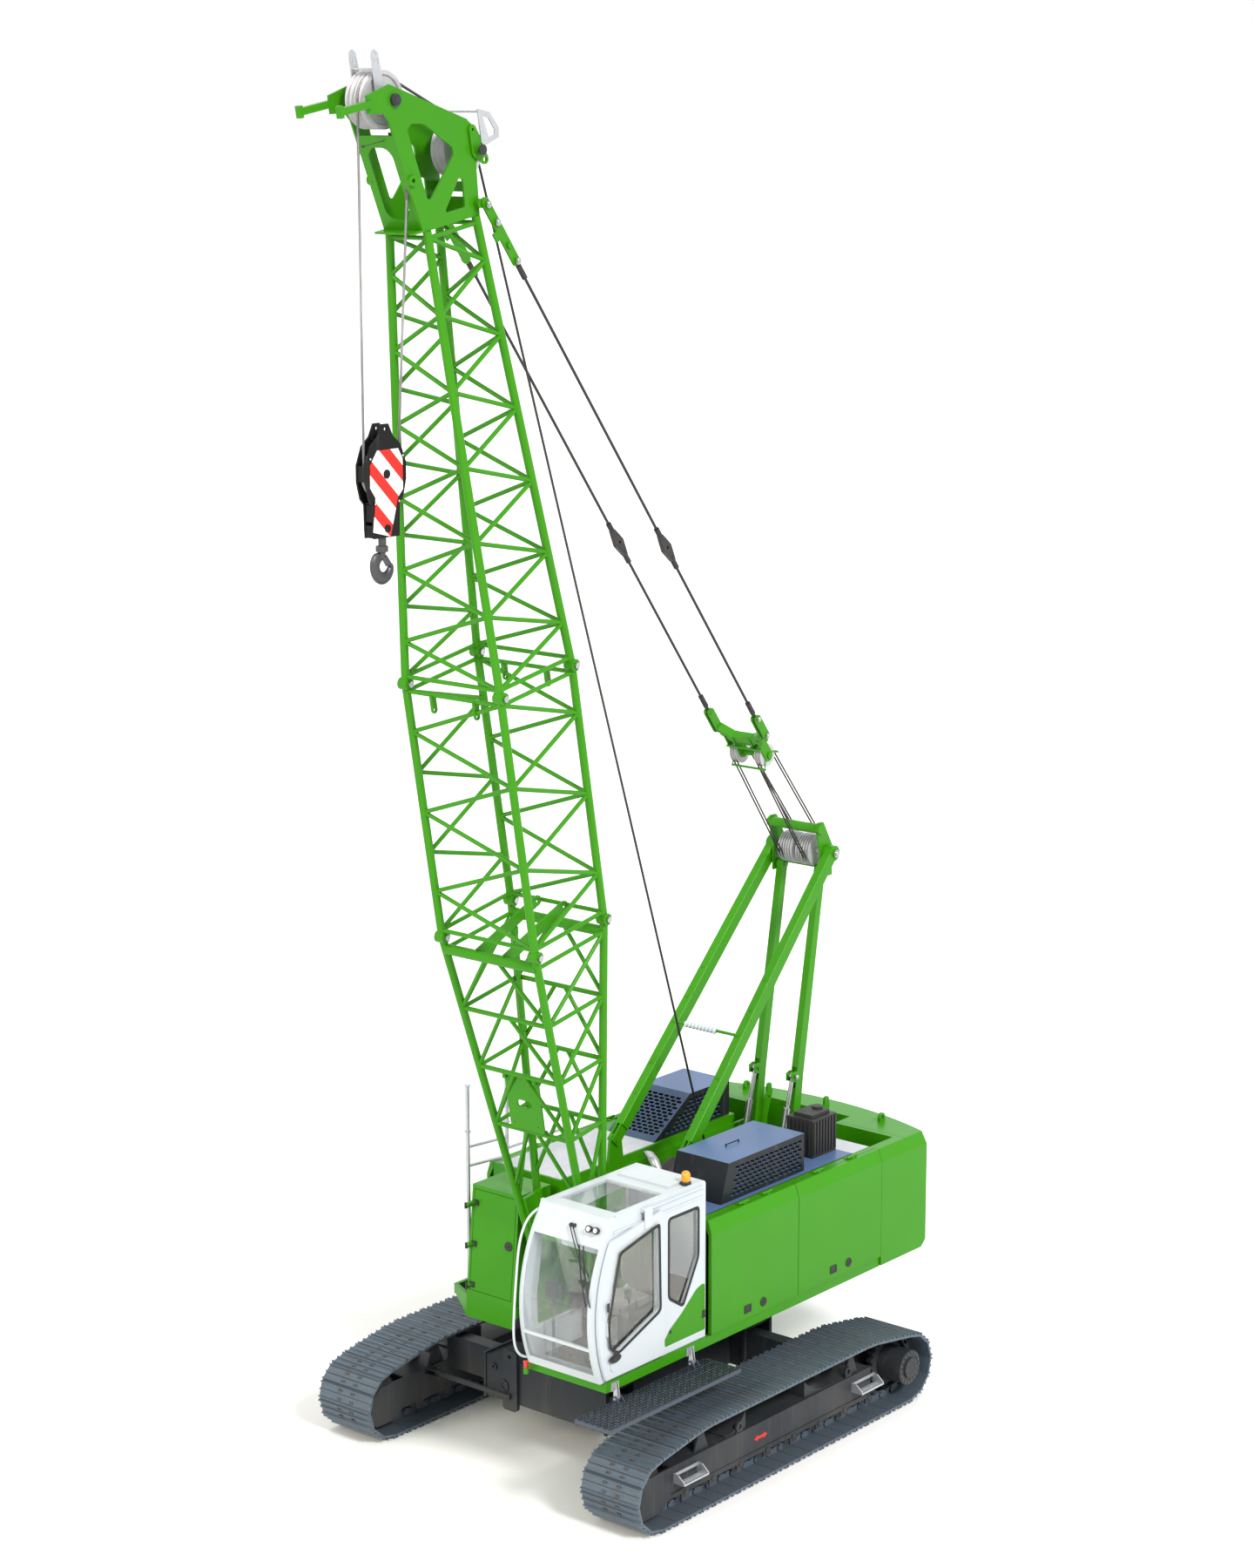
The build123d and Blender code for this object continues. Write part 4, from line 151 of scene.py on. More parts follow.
def lathes(centres, directions, profile, sides=16):
    """Turned pieces: point = centre + r cos(t) side + r sin(t) up + h along, for each (r, h) of the profile."""
    centres = np.atleast_2d(np.asarray(centres, float))
    turn = np.broadcast_to(frames(directions), (len(centres), 3, 3))
    profile = np.asarray(profile, float)
    t = np.arange(sides) * 2 * np.pi / sides
    ring = np.stack([profile[:, :1] * np.cos(t), profile[:, :1] * np.sin(t),
                     np.broadcast_to(profile[:, 1:], (len(profile), sides))], axis=2)
    return tubes(np.einsum("nij,mkj->nmki", turn, ring) + centres[:, None, None])


def rods(starts, ends, radius, sides=12):
    """Round bars between pairs of points, each one a ring at its start and a ring at its end."""
    starts = np.atleast_2d(np.asarray(starts, float))
    span = np.atleast_2d(np.asarray(ends, float)) - starts
    ring = np.einsum("nij,kj->nki", frames(span), circle(radius, sides))
    return tubes(np.stack([ring + starts[:, None], ring + (starts + span)[:, None]], axis=1))


def sweep(path, radius, sides=10):
    """A bent bar: at each path point a ring across the path, point = p + r cos(t) side + r sin(t) up."""
    path = np.asarray(path, float)
    turn = frames(np.gradient(path, axis=0), up=(0.13, 0.21, 0.97))
    return tubes((np.einsum("nij,kj->nki", turn, circle(radius, sides)) + path[:, None])[None])


def slabs(outlines, thickness, normal):
    """Flat plates: each outline (n, k, 3) and its copy moved by thickness along the normal, with side walls."""
    outlines = np.asarray(outlines, float)
    return tubes(np.stack([outlines, outlines + np.asarray(normal, float) * thickness], axis=1))


print("makers: boxes, lathes, rods, sweep, slabs")

# %% [markdown]
# ## Node tools
# A material is a small network of nodes. These helpers add one node with its settings and links in a single
# line, so that the arithmetic of a pattern reads from top to bottom.

# %% Node tools
def node(tree, kind, values=None, **settings):
    """A node with its settings; a value that is a socket is linked, any other value is set on the input."""
    made = tree.nodes.new(kind)
    for key, value in settings.items():
        setattr(made, key, value)
    for key, value in (values or {}).items():
        if isinstance(value, bpy.types.NodeSocket):
            tree.links.new(value, made.inputs[key])
        else:
            made.inputs[key].default_value = value
    return made


def math_node(tree, operation, a, b=0.0, c=0.0, clamp=False):
    """One arithmetic step on sockets or numbers."""
    return node(tree, "ShaderNodeMath", {0: a, 1: b, 2: c}, operation=operation, use_clamp=clamp).outputs[0]


def plus(tree, a, b):
    """The sum of two sockets or numbers."""
    return math_node(tree, "ADD", a, b)


def minus(tree, a, b):
    """The first less the second."""
    return math_node(tree, "SUBTRACT", a, b)


def times(tree, a, b, clamp=False):
    """The product of two sockets or numbers."""
    return math_node(tree, "MULTIPLY", a, b, clamp=clamp)


print("node tools: node, math_node, plus, minus, times")

# %% [markdown]
# ## Colour, noise and groups
# Effects that several materials share are built once as node groups, with named inputs and outputs: faded and
# dusty paint, cast or rolled metal, and the lay of a wire rope. A group gives colours and values, and the
# shader itself stays in the material.

# %% Colour, noise and groups
def blend_colour(tree, share, a, b, mode="MIX"):
    """Colour a turned into colour b by a share."""
    made = node(tree, "ShaderNodeMix", {0: share, 6: a, 7: b}, data_type="RGBA", blend_type=mode)
    return made.outputs[2]


def dimmed(tree, colour, value):
    """A colour multiplied by one brightness."""
    grey = node(tree, "ShaderNodeCombineColor", {0: value, 1: value, 2: value}).outputs[0]
    return blend_colour(tree, 1.0, colour, grey, "MULTIPLY")


def ramp(tree, value, low, high):
    """0 below low, 1 above high, smooth between."""
    made = node(tree, "ShaderNodeMapRange", {"Value": value, "From Min": low, "From Max": high},
                interpolation_type="SMOOTHSTEP")
    return made.outputs[0]


def own_place(tree):
    """The point's place on the machine: every piece's object sits at the origin, so neighbours agree."""
    return node(tree, "ShaderNodeTexCoord").outputs["Object"]


def split(tree, vector):
    """The x, y and z parts of a vector."""
    return node(tree, "ShaderNodeSeparateXYZ", {0: vector}).outputs


def noise(tree, place, scale, detail, roughness=0.5):
    """Soft noise around a half, finer with a larger scale."""
    values = {"Vector": place, "Scale": scale, "Detail": detail, "Roughness": roughness}
    return node(tree, "ShaderNodeTexNoise", values).outputs[0]


def bump(tree, strength, distance, height):
    """A normal that leans as if the surface rose by distance where the height is 1."""
    values = {"Strength": strength, "Distance": distance, "Height": height}
    return node(tree, "ShaderNodeBump", values).outputs[0]


def new_group(name, inputs, outputs):
    """An empty node group with its named sockets: (name, kind, default)."""
    group = bpy.data.node_groups.new(name, "ShaderNodeTree")
    for label, kind, default in inputs:
        socket = group.interface.new_socket(label, in_out="INPUT", socket_type="NodeSocket" + kind)
        socket.default_value = default
    for label, kind in outputs:
        group.interface.new_socket(label, in_out="OUTPUT", socket_type="NodeSocket" + kind)
    return group, group.nodes.new("NodeGroupInput").outputs, group.nodes.new("NodeGroupOutput").inputs


print("node tools: colours, ramps, noise, bumps and groups")

# %% [markdown]
# ## Weathering
# Paint outdoors fades in patches, gathers dust from the ground up, and runs with faint vertical streaks. One
# group makes all three from the point's place on the machine, so neighbours agree.

# %% Weathering group
WEATHER, into, out = new_group("weathering", [
    ("Paint", "Color", (0.1, 0.4, 0.05, 1)), ("Dust", "Color", (0.35, 0.31, 0.25, 1)),
    ("Dust top", "Float", 1.2), ("Dust amount", "Float", 0.5), ("Streaks", "Float", 0.25), ("Gloss", "Float", 0.3)],
    [("Color", "Color"), ("Roughness", "Float"), ("Normal", "Vector")])
GRIME = (0.12, 0.11, 0.09, 1)
place = own_place(WEATHER)
up_part = split(WEATHER, place)[2]
patches = noise(WEATHER, place, 1.1, 5.0)
fine = noise(WEATHER, place, 38.0, 4.0)
stretched = node(WEATHER, "ShaderNodeMapping", {"Vector": place, "Scale": (7.0, 7.0, 0.45)}).outputs[0]
streak = noise(WEATHER, stretched, 2.0, 4.0)
share_up = math_node(WEATHER, "DIVIDE", up_part, into["Dust top"])
height = math_node(WEATHER, "SUBTRACT", 1.0, share_up, clamp=True)
settled = times(WEATHER, height, ramp(WEATHER, patches, 0.25, 0.75))
settled = plus(WEATHER, settled, times(WEATHER, fine, 0.08))
settled = times(WEATHER, settled, into["Dust amount"], clamp=True)
faded = dimmed(WEATHER, into["Paint"], math_node(WEATHER, "MULTIPLY_ADD", patches, 0.22, 0.89))
run = times(WEATHER, ramp(WEATHER, streak, 0.52, 0.75), into["Streaks"])
streaked = blend_colour(WEATHER, run, faded, blend_colour(WEATHER, 0.75, faded, GRIME))
WEATHER.links.new(blend_colour(WEATHER, settled, streaked, into["Dust"]), out["Color"])
rough = math_node(WEATHER, "MULTIPLY_ADD", settled, 0.45, into["Gloss"])
WEATHER.links.new(math_node(WEATHER, "MULTIPLY_ADD", fine, 0.1, rough, clamp=True), out["Roughness"])
peel = noise(WEATHER, place, 140.0, 2.0)
WEATHER.links.new(bump(WEATHER, 0.06, 0.002, peel), out["Normal"])
print("weathering group:", len(WEATHER.nodes), "nodes")

# %% [markdown]
# ## Metal
# Bare and oiled steel shows a fine rolled or cast grain, darker where grease holds dirt and browner where it
# rusts. One group with a grain, a stain and a polish gives forged links, galvanised steps, sheaves and even cloth,
# because each material sets its own scale, depth and colour.

# %% Metal group
METAL, into, out = new_group("worked_metal", [
    ("Metal", "Color", (0.5, 0.5, 0.52, 1)), ("Stain", "Color", (0.12, 0.08, 0.05, 1)),
    ("Stain amount", "Float", 0.4), ("Grain scale", "Float", 60.0), ("Grain depth", "Float", 0.25),
    ("Polish", "Float", 0.35)],
    [("Color", "Color"), ("Roughness", "Float"), ("Normal", "Vector")])
place = own_place(METAL)
blotch = noise(METAL, place, 5.5, 8.0, 0.62)
grain = noise(METAL, place, into["Grain scale"], 5.0)
stain = times(METAL, ramp(METAL, blotch, 0.42, 0.68), into["Stain amount"])
toned = dimmed(METAL, into["Metal"], math_node(METAL, "MULTIPLY_ADD", grain, 0.3, 0.85))
METAL.links.new(blend_colour(METAL, stain, toned, into["Stain"]), out["Color"])
polished = math_node(METAL, "MULTIPLY_ADD", grain, 0.15, into["Polish"])
METAL.links.new(math_node(METAL, "MULTIPLY_ADD", stain, 0.35, polished, clamp=True), out["Roughness"])
METAL.links.new(bump(METAL, into["Grain depth"], 0.003, grain), out["Normal"])
print("metal group:", len(METAL.nodes), "nodes")

# %% [markdown]
# ## Rope lay and warning stripes
# The strands of a wire rope show as short slanted ridges, which a wave texture in diagonal bands gives without a
# mesh for each strand. The hook block carries broad slanted stripes, so that people on the ground see it move:
# the distance z - x, cut into periods, is white in one share of each period.

# %% Rope lay and warning stripes
LAY, into, out = new_group("rope_lay", [("Strands", "Float", 42.0)], [("Ridge", "Float")])
wave = node(LAY, "ShaderNodeTexWave", {"Vector": own_place(LAY), "Scale": into["Strands"], "Distortion": 0.4},
            bands_direction="DIAGONAL")
LAY.links.new(wave.outputs["Fac"], out["Ridge"])
STRIPES, into, out = new_group(
    "warning_stripes", [("Period", "Float", 0.323), ("Start", "Float", 6.449), ("White share", "Float", 0.56)],
    [("Mask", "Float")])
xyz = split(STRIPES, own_place(STRIPES))
slant = minus(STRIPES, minus(STRIPES, xyz[2], xyz[0]), into["Start"])
phase = math_node(STRIPES, "FRACT", math_node(STRIPES, "DIVIDE", slant, into["Period"]))
STRIPES.links.new(math_node(STRIPES, "LESS_THAN", phase, into["White share"]), out["Mask"])
print("pattern groups:", LAY.name, STRIPES.name)

# %% [markdown]
# ## Tread plate and walkway slots
# Roof plates are rolled with lens-shaped bars, turned by a quarter from one cell to the next, that keep boots
# from slipping. A lens is the ellipse a u^2 + b v^2 < 1 in a cell, and the cells run at 45 degrees. The walkway
# is pressed with rows of slots, each row moved by half a slot. Both are patterns, because thousands of small
# bars would be heavy as a mesh and no more real at this size.

# %% Tread plate and walkway slots
TREAD, into, out = new_group("tread_plate", [("Rows per metre", "Float", 24.0)], [("Height", "Float")])
LENS_LONG, LENS_SHORT = 4.8, 40.0
xyz = split(TREAD, own_place(TREAD))
across = times(TREAD, plus(TREAD, xyz[0], xyz[1]), into["Rows per metre"])
along = times(TREAD, minus(TREAD, xyz[0], xyz[1]), into["Rows per metre"])
cell = plus(TREAD, math_node(TREAD, "FLOOR", across), math_node(TREAD, "FLOOR", along))
cell = math_node(TREAD, "FLOORED_MODULO", cell, 2.0)
u, v = (minus(TREAD, math_node(TREAD, "FRACT", way), 0.5) for way in (across, along))
lens = [plus(TREAD, times(TREAD, times(TREAD, p, p), LENS_LONG), times(TREAD, times(TREAD, q, q), LENS_SHORT))
        for p, q in ((u, v), (v, u))]
bars = [minus(TREAD, 1.0, ramp(TREAD, value, 0.6, 1.1)) for value in lens]
TREAD.links.new(plus(TREAD, times(TREAD, bars[0], cell), times(TREAD, bars[1], minus(TREAD, 1.0, cell))),
                out["Height"])
SLOTS, into, out = new_group(
    "walkway_slots", [("Across per metre", "Float", 26.0), ("Along per metre", "Float", 9.0)],
    [("Mask", "Float")])
xyz = split(SLOTS, own_place(SLOTS))
row = times(SLOTS, xyz[1], into["Across per metre"])
half_steps = times(SLOTS, math_node(SLOTS, "FLOOR", row), 0.5)
shifted = plus(SLOTS, times(SLOTS, xyz[0], into["Along per metre"]), half_steps)
narrow = math_node(SLOTS, "LESS_THAN", math_node(SLOTS, "FRACT", row), 0.52)
long = math_node(SLOTS, "LESS_THAN", math_node(SLOTS, "FRACT", shifted), 0.78)
SLOTS.links.new(times(SLOTS, narrow, long), out["Mask"])
print("pattern groups:", TREAD.name, SLOTS.name)

# %% [markdown]
# ## Makers of materials
# Each material is one Principled shader fed by a group, so a whole family of paints or metals differs only in
# its colour and a few amounts. Constants such as metallic are set on the shader itself.

# %% Makers of materials
def shaded(name, group, values, **shader):
    """A material whose colour, roughness and normal come from one group; the rest is set on the shader."""
    material = bpy.data.materials.new(name)
    material.use_nodes = True
    tree = material.node_tree
    principled = tree.nodes["Principled BSDF"]
    source = node(tree, "ShaderNodeGroup", node_tree=group)
    for key, value in values.items():
        source.inputs[key].default_value = value
    for key, socket in (("Color", "Base Color"), ("Roughness", "Roughness"), ("Normal", "Normal")):
        tree.links.new(source.outputs[key], principled.inputs[socket])
    for key, value in shader.items():
        principled.inputs[key.replace("_", " ")].default_value = value
    return material


def painted(name, colour, gloss=0.28, top=1.3, amount=0.45, streaks=0.22, coat=0.07):
    """Weathered paint of one colour."""
    values = {"Paint": (*colour, 1), "Gloss": gloss, "Dust top": top, "Dust amount": amount, "Streaks": streaks}
    return shaded(name, WEATHER, values, Coat_Weight=coat, Coat_Roughness=0.12, Specular_IOR_Level=0.16)


def moulded(name, colour, gloss, amount):
    """Dark plastic or rubber, coloured right through, with a little dust and no runs."""
    return shaded(name, WEATHER, {"Paint": (*colour, 1), "Gloss": gloss, "Dust amount": amount, "Streaks": 0.0})


def metal(name, colour, polish=0.35, stain=0.4, scale=60.0, depth=0.25, metallic=0.9, **shader):
    """Bare metal with its grain and stains."""
    values = {"Metal": (*colour, 1), "Polish": polish, "Stain amount": stain, "Grain scale": scale,
              "Grain depth": depth}
    return shaded(name, METAL, values, Metallic=metallic, **shader)


print("material makers: painted, moulded, metal")

# %% [markdown]
# ## Paints and metals
# The house's bright green, the chassis' dark blue-grey and the cab's white are weathered paint with little dust,
# as on a machine that has just been washed. Plastic and rubber are coloured right through. Steel differs in
# polish, grain and stain: forged track links, zinc-coated steps, oiled stays, a bright pin.

# %% Paints and metals
# The hoods' blue is the lighter colour of a painted sheen, used only on the hoods' faces that look up.
GREEN, RED, HOOD_SHEEN_BLUE = (0.034, 0.222, 0.001), (0.55, 0.02, 0.015), (0.08, 0.135, 0.27)


MAT = {
    "green": painted("green_paint", GREEN, amount=0.08, streaks=0.08),
    "chassis": painted("chassis_paint", (0.019, 0.023, 0.030), gloss=0.42, top=0.8, amount=0.16, coat=0.05),
    "hood": painted("hood_paint", HOOD_SHEEN_BLUE, gloss=0.34, amount=0.1),
    "white": painted("white_paint", (0.50, 0.545, 0.58), amount=0.03, streaks=0.0),
    "block": painted("hook_block_paint", (0.004, 0.004, 0.005), gloss=0.38, amount=0.02),
    "dark": painted("dark_fittings", (0.03, 0.034, 0.04), gloss=0.45, amount=0.3, coat=0.0),
    "red": painted("red_paint", RED, amount=0.1, streaks=0.1),
    "liner": painted("cab_liner", (0.135, 0.108, 0.090), gloss=0.55, amount=0.03, streaks=0.0, coat=0.0),
    "plastic": moulded("black_plastic", (0.016, 0.017, 0.018), 0.5, 0.1),
    "rubber": moulded("black_rubber", (0.012, 0.012, 0.012), 0.68, 0.25),
    "fabric": metal("seat_fabric", (0.15, 0.135, 0.125), 0.75, 0.05, 420.0, 0.6, 0.0, Sheen_Weight=0.4),
    "track": metal("track_steel", (0.105, 0.138, 0.175), 0.45, 0.22, 34.0, 0.5, 0.5),
    "machine": metal("machinery", (0.10, 0.105, 0.11), 0.5, 0.35, metallic=0.5),
    "galvanised": metal("galvanised", (0.50, 0.52, 0.55), 0.42, 0.1, 18.0, metallic=0.75),
    "tread": metal("tread_plate", (0.52, 0.54, 0.57), 0.38, 0.06, 18.0, metallic=0.75),
    "grating": metal("walkway_steel", (0.075, 0.090, 0.125), 0.42, 0.1, 30.0, metallic=0.6),
    "sheave": metal("sheave_paint", (0.44, 0.44, 0.46), 0.45, 0.18, metallic=0.15),
    "bright": metal("bright_steel", (0.46, 0.47, 0.50), 0.22, 0.12, metallic=1.0),
    "hook": metal("hook_steel", (0.085, 0.085, 0.092), 0.34, 0.12, metallic=0.8),
    "oiled": metal("stay_steel", (0.040, 0.044, 0.050), 0.4, 0.3, metallic=0.7),
}
print("materials:", len(MAT))

# %% [markdown]
# ## Glass and lenses
# Cab glass lets most light straight through, so it is mostly see-through and its shine is constant: the group's
# roughness is unlinked and a small value is set on the shader. Lenses are moulded plastic, whose fine grain
# scatters the light of the lamp.

# %% Glass and lenses
glass = shaded("window_glass", METAL, {"Metal": (0.90, 0.95, 0.94, 1), "Stain amount": 0.0, "Grain depth": 0.01,
                                       "Polish": 0.0}, Transmission_Weight=1.0, IOR=1.45, Alpha=0.30)
pane_shader = glass.node_tree.nodes["Principled BSDF"]
glass.node_tree.links.remove(pane_shader.inputs["Roughness"].links[0])
pane_shader.inputs["Roughness"].default_value = 0.02


def lens_material(name, colour, scale=90.0, depth=0.5, polish=0.1, **shader):
    """Moulded lamp plastic with a fine grain and no stains."""
    values = {"Metal": (*colour, 1), "Stain amount": 0.0, "Grain scale": scale, "Grain depth": depth,
              "Polish": polish}
    return shaded(name, METAL, values, **shader)


amber = lens_material("amber_lens", (1.0, 0.46, 0.005), Transmission_Weight=0.55, Coat_Weight=0.5)
red_lens = lens_material("red_lens", (0.7, 0.015, 0.01), Transmission_Weight=0.3, Coat_Weight=0.5)
clear_lens = lens_material("clear_lens", (0.85, 0.87, 0.88), 160.0, 0.6, 0.08, Metallic=0.35, Coat_Weight=0.6)
MAT.update(glass=glass, amber=amber, red_lens=red_lens, clear_lens=clear_lens)
print("glass and lenses: 4")

# %% [markdown]
# ## Ropes and striped panels
# A rope is bare metal whose normal leans with its strands. The striped panels are weathered paint like any other,
# and only the colour that goes into the weathering changes, so the dust and the fading lie over both colours.

# %% Ropes and striped panels
def set_group(tree, group):
    """The first output of a pattern group placed in a material."""
    return node(tree, "ShaderNodeGroup", node_tree=group).outputs[0]


def effect(tree):
    """The group node that was placed first, which feeds the material's shader."""
    return next(made for made in tree.nodes if made.type == "GROUP")


def rope_material(name, colour, polish, stain):
    """Rope steel: bare metal with the lay of its strands as a bump."""
    made = metal(name, colour, polish, stain, metallic=0.8)
    tree = made.node_tree
    tree.links.new(bump(tree, 0.8, 0.004, set_group(tree, LAY)), tree.nodes["Principled BSDF"].inputs["Normal"])
    return made


rope = rope_material("wire_rope", (0.055, 0.058, 0.062), 0.4, 0.3)
stripes = painted("stripe_paint", RED, amount=0.1, streaks=0.1)
tree = stripes.node_tree
striped = blend_colour(tree, set_group(tree, STRIPES), (*RED, 1), (0.8, 0.8, 0.79, 1))
tree.links.new(striped, effect(tree).inputs["Paint"])
steel_rope = rope_material("hoist_fall_steel", (0.30, 0.30, 0.31), 0.35, 0.2)
MAT.update(rope=rope, stripes=stripes, steel_rope=steel_rope)
print("ropes: 2, striped panels: 1")

# %% [markdown]
# ## Plates seen from above
# Three finishes show on faces that look up: the bars of the roof plates, the slots of the walkway, painted
# near-black as painted shade, and on the hoods a painted sheen, a lighter blue on faces that look up over dark
# sides. The upward part of the true normal tells where such a face is.

# %% Plates seen from above
def facing_up(tree, low):
    """0 on steep faces and 1 on level ones that look up."""
    normal = node(tree, "ShaderNodeNewGeometry").outputs["True Normal"]
    return ramp(tree, split(tree, normal)[2], low, 0.95)


tree = MAT["tread"].node_tree
raised = times(tree, set_group(tree, TREAD), facing_up(tree, 0.8))
values = {"Strength": 1.0, "Distance": 0.004, "Height": raised, "Normal": effect(tree).outputs["Normal"]}
tree.links.new(node(tree, "ShaderNodeBump", values).outputs[0], tree.nodes["Principled BSDF"].inputs["Normal"])

# Painted shade: the walkway's slots on faces that look up are painted near-black, the shade seen through them.
tree = MAT["grating"].node_tree
slot_shade_mask = times(tree, set_group(tree, SLOTS), facing_up(tree, 0.8))
slots_painted_shade = blend_colour(tree, slot_shade_mask, effect(tree).outputs["Color"], (0.006, 0.007, 0.008, 1))
tree.links.new(slots_painted_shade, tree.nodes["Principled BSDF"].inputs["Base Color"])

# Painted sheen: the hoods' faces that look up are painted a lighter blue, as the glossy lid catches the light, and
# their sides stay dark.
tree = MAT["hood"].node_tree
hood_sheen_on_top = blend_colour(tree, facing_up(tree, 0.75), (0.011, 0.014, 0.019, 1), (*HOOD_SHEEN_BLUE, 1))
tree.links.new(hood_sheen_on_top, effect(tree).inputs["Paint"])
print("materials in all:", len(MAT))

# %% [markdown]
# ## Materials of the CAD nodes
# The colours follow the machine: bright green house, counterweight, boom and gantry, dark blue-grey tracks, dark
# hoods with a painted sheen of lighter blue on their tops, a white cab, and galvanised steps. A table of names is
# the plainest way to give each solid its finish, and it shows at a glance which pieces share one.

# %% Materials of the CAD nodes
LOOKS = {
    "green": "main_frame left_house right_house left_door_front left_door_rear right_door_front right_door_rear "
             "counterweight locker locker_door boom_foot strut boom_insert boom_top boom_head stay_links bridle "
             "gantry_front_legs gantry_rear_legs gantry_head",
    "chassis": "centre_frame left_track_frame right_track_frame left_beams right_beams left_drive_sprocket "
               "right_drive_sprocket",
    "hood": "left_hood right_hood", "white": "cab_shell cab_door",
    "block": "hook_block", "stripes": "block_panels",
    "plastic": "air_cleaner cab_controls", "fabric": "cab_seat", "amber": "lamps",
    "machine": "slew_ring engine winches left_rollers right_rollers",
    "galvanised": "left_steps right_steps head_guards", "tread": "fittings", "grating": "catwalk",
    "track": "left_track_loop right_track_loop", "bright": "exhaust gantry_cylinders", "hook": "hook",
    "sheave": "rear_sheaves head_sheaves bridle_sheaves gantry_sheaves block_sheave",
    "oiled": "pendants", "glass": "cab_glass cab_door_glass"}
for look, names in LOOKS.items():
    for name in names.split():
        NODES[name].data.materials.clear()
        NODES[name].data.materials.append(MAT[look])
print("nodes with a material:", sum(len(v.split()) for v in LOOKS.values()), "of", len(NODES))

# %% [markdown]
# ## The tracks
# A crawler track is a closed chain: pairs of forged links on pins and bushings, each pair carrying one pressed
# steel shoe with three ridges that bite the ground. The CAD loop holds the place, and here the real links and
# shoes replace it. Every shoe is the same outline set on the chord between two pins of the path.

# %% Track path
WHEEL_X, WHEEL_Z, LOOP_R, CROWN = 2.02, 0.38, 0.355, (1.35, 0.85)
SHOES = 54
reach = math.hypot(WHEEL_X - CROWN[0], CROWN[1] - WHEEL_Z)
top_angle = math.pi - math.atan2(CROWN[1] - WHEEL_Z, WHEEL_X - CROWN[0]) - math.acos(LOOP_R / reach)
front_arc = np.linspace(-math.pi / 2, top_angle, 60)
rear_arc = np.linspace(math.pi - top_angle, 1.5 * math.pi, 60)
PATH = np.vstack([
    [(-WHEEL_X, WHEEL_Z - LOOP_R)],
    np.stack([WHEEL_X + LOOP_R * np.cos(front_arc), WHEEL_Z + LOOP_R * np.sin(front_arc)], 1),
    [CROWN, (-CROWN[0], CROWN[1])],
    np.stack([-WHEEL_X + LOOP_R * np.cos(rear_arc), WHEEL_Z + LOOP_R * np.sin(rear_arc)], 1)])
steps = np.r_[0, np.cumsum(np.linalg.norm(np.diff(PATH, axis=0), axis=1))]
pins = np.stack([np.interp(np.arange(SHOES + 1) / SHOES * steps[-1], steps, PATH[:, i]) for i in (0, 1)], 1)
chord = np.diff(pins, axis=0)
PITCH = np.linalg.norm(chord, axis=1)
ALONG = chord / PITCH[:, None]
OUTWARD = np.stack([ALONG[:, 1], -ALONG[:, 0]], 1)
print("track loop", round(float(steps[-1]), 3), "m, pitch", round(float(PITCH.mean()), 4))


def on_shoes(profile):
    """A profile (share of pitch, height) set on every shoe: point = pin + share * chord + height * outward."""
    profile = np.asarray(profile, float)
    return pins[:-1, None] + profile[None, :, :1] * chord[:, None] + profile[None, :, 1:] * OUTWARD[:, None]


def extruded(flat, y_low, y_high):
    """Flat outlines (n, k, 2) in the track's plane as bars from y_low to y_high."""
    outline = np.insert(flat[:, ::-1], 1, y_high, axis=2)
    return slabs(outline, y_low - y_high, (0, 1, 0))


# %% [markdown]
# ## Track shoes and links
# The shoe's outline holds its three ridges and the lips that overlap its neighbours, the link's the curved side
# plate. Two rows of links stand inward of the shoes on steel pins with bushings round them, and four bolts hold
# each shoe. All shoes of a track are one mesh, and so are its links and its bolts.

# %% Track shoes and links
SHOE = ((0.02, -0.022), (0.98, -0.022), (0.985, -0.008), (0.955, 0.0), (0.93, 0.022), (0.885, 0.0225),
        (0.84, 0.0), (0.565, 0.0), (0.53, 0.0195), (0.47, 0.0195), (0.435, 0.0), (0.16, 0.0), (0.115, 0.0225),
        (0.07, 0.022), (0.045, 0.0), (0.015, -0.008))
LINK = ((0.0, -0.089), (0.10, -0.0905), (0.35, -0.0905), (0.42, -0.078), (0.58, -0.078), (0.65, -0.0905),
        (0.95, -0.0905), (1.05, -0.088), (1.13, -0.072), (1.13, -0.045), (1.05, -0.028), (0.80, -0.0225),
        (0.16, -0.0225), (0.0, -0.034), (-0.10, -0.045), (-0.10, -0.072))
TRACK_Y, SHOE_HALF, PIN_DEPTH, PIN_R, BUSH_R = 1.725, 0.349, 0.058, 0.019, 0.029
LINK_BANDS = ((0.066, 0.094), (-0.094, -0.066))
BOLT_ROWS, BOLT_SHARES = (-0.093, -0.067, 0.067, 0.093), (0.27, 0.73)


def chain_pieces(centre_y):
    """Shoes, link pairs with pins and bushings, and bolts of one track, as (points, faces) parts."""
    shoes = extruded(on_shoes(SHOE), centre_y - SHOE_HALF, centre_y + SHOE_HALF)
    links = [extruded(on_shoes(LINK), centre_y + a, centre_y + b) for a, b in LINK_BANDS]
    pin_at = pins[:-1] - PIN_DEPTH * OUTWARD
    ends = [np.insert(pin_at, 1, centre_y + s, axis=1) for s in (-0.104, 0.104)]
    bushes = [np.insert(pin_at, 1, centre_y + s, axis=1) for s in (-0.065, 0.065)]
    spots = np.vstack([on_shoes(((share, 0.0),))[:, 0] for share in BOLT_SHARES])
    normal = np.insert(np.tile(OUTWARD, (2, 1)), 1, 0.0, axis=1)
    feet = [np.insert(spots, 1, centre_y + dy * 1.05, axis=1) for dy in BOLT_ROWS]
    heads = [rods(foot - 0.001 * normal, foot + 0.0125 * normal, 0.0115, 6) for foot in feet]
    chain = join(*links, rods(ends[0], ends[1], PIN_R, 12), rods(bushes[0], bushes[1], BUSH_R, 14))
    return shoes, chain, join(*heads)


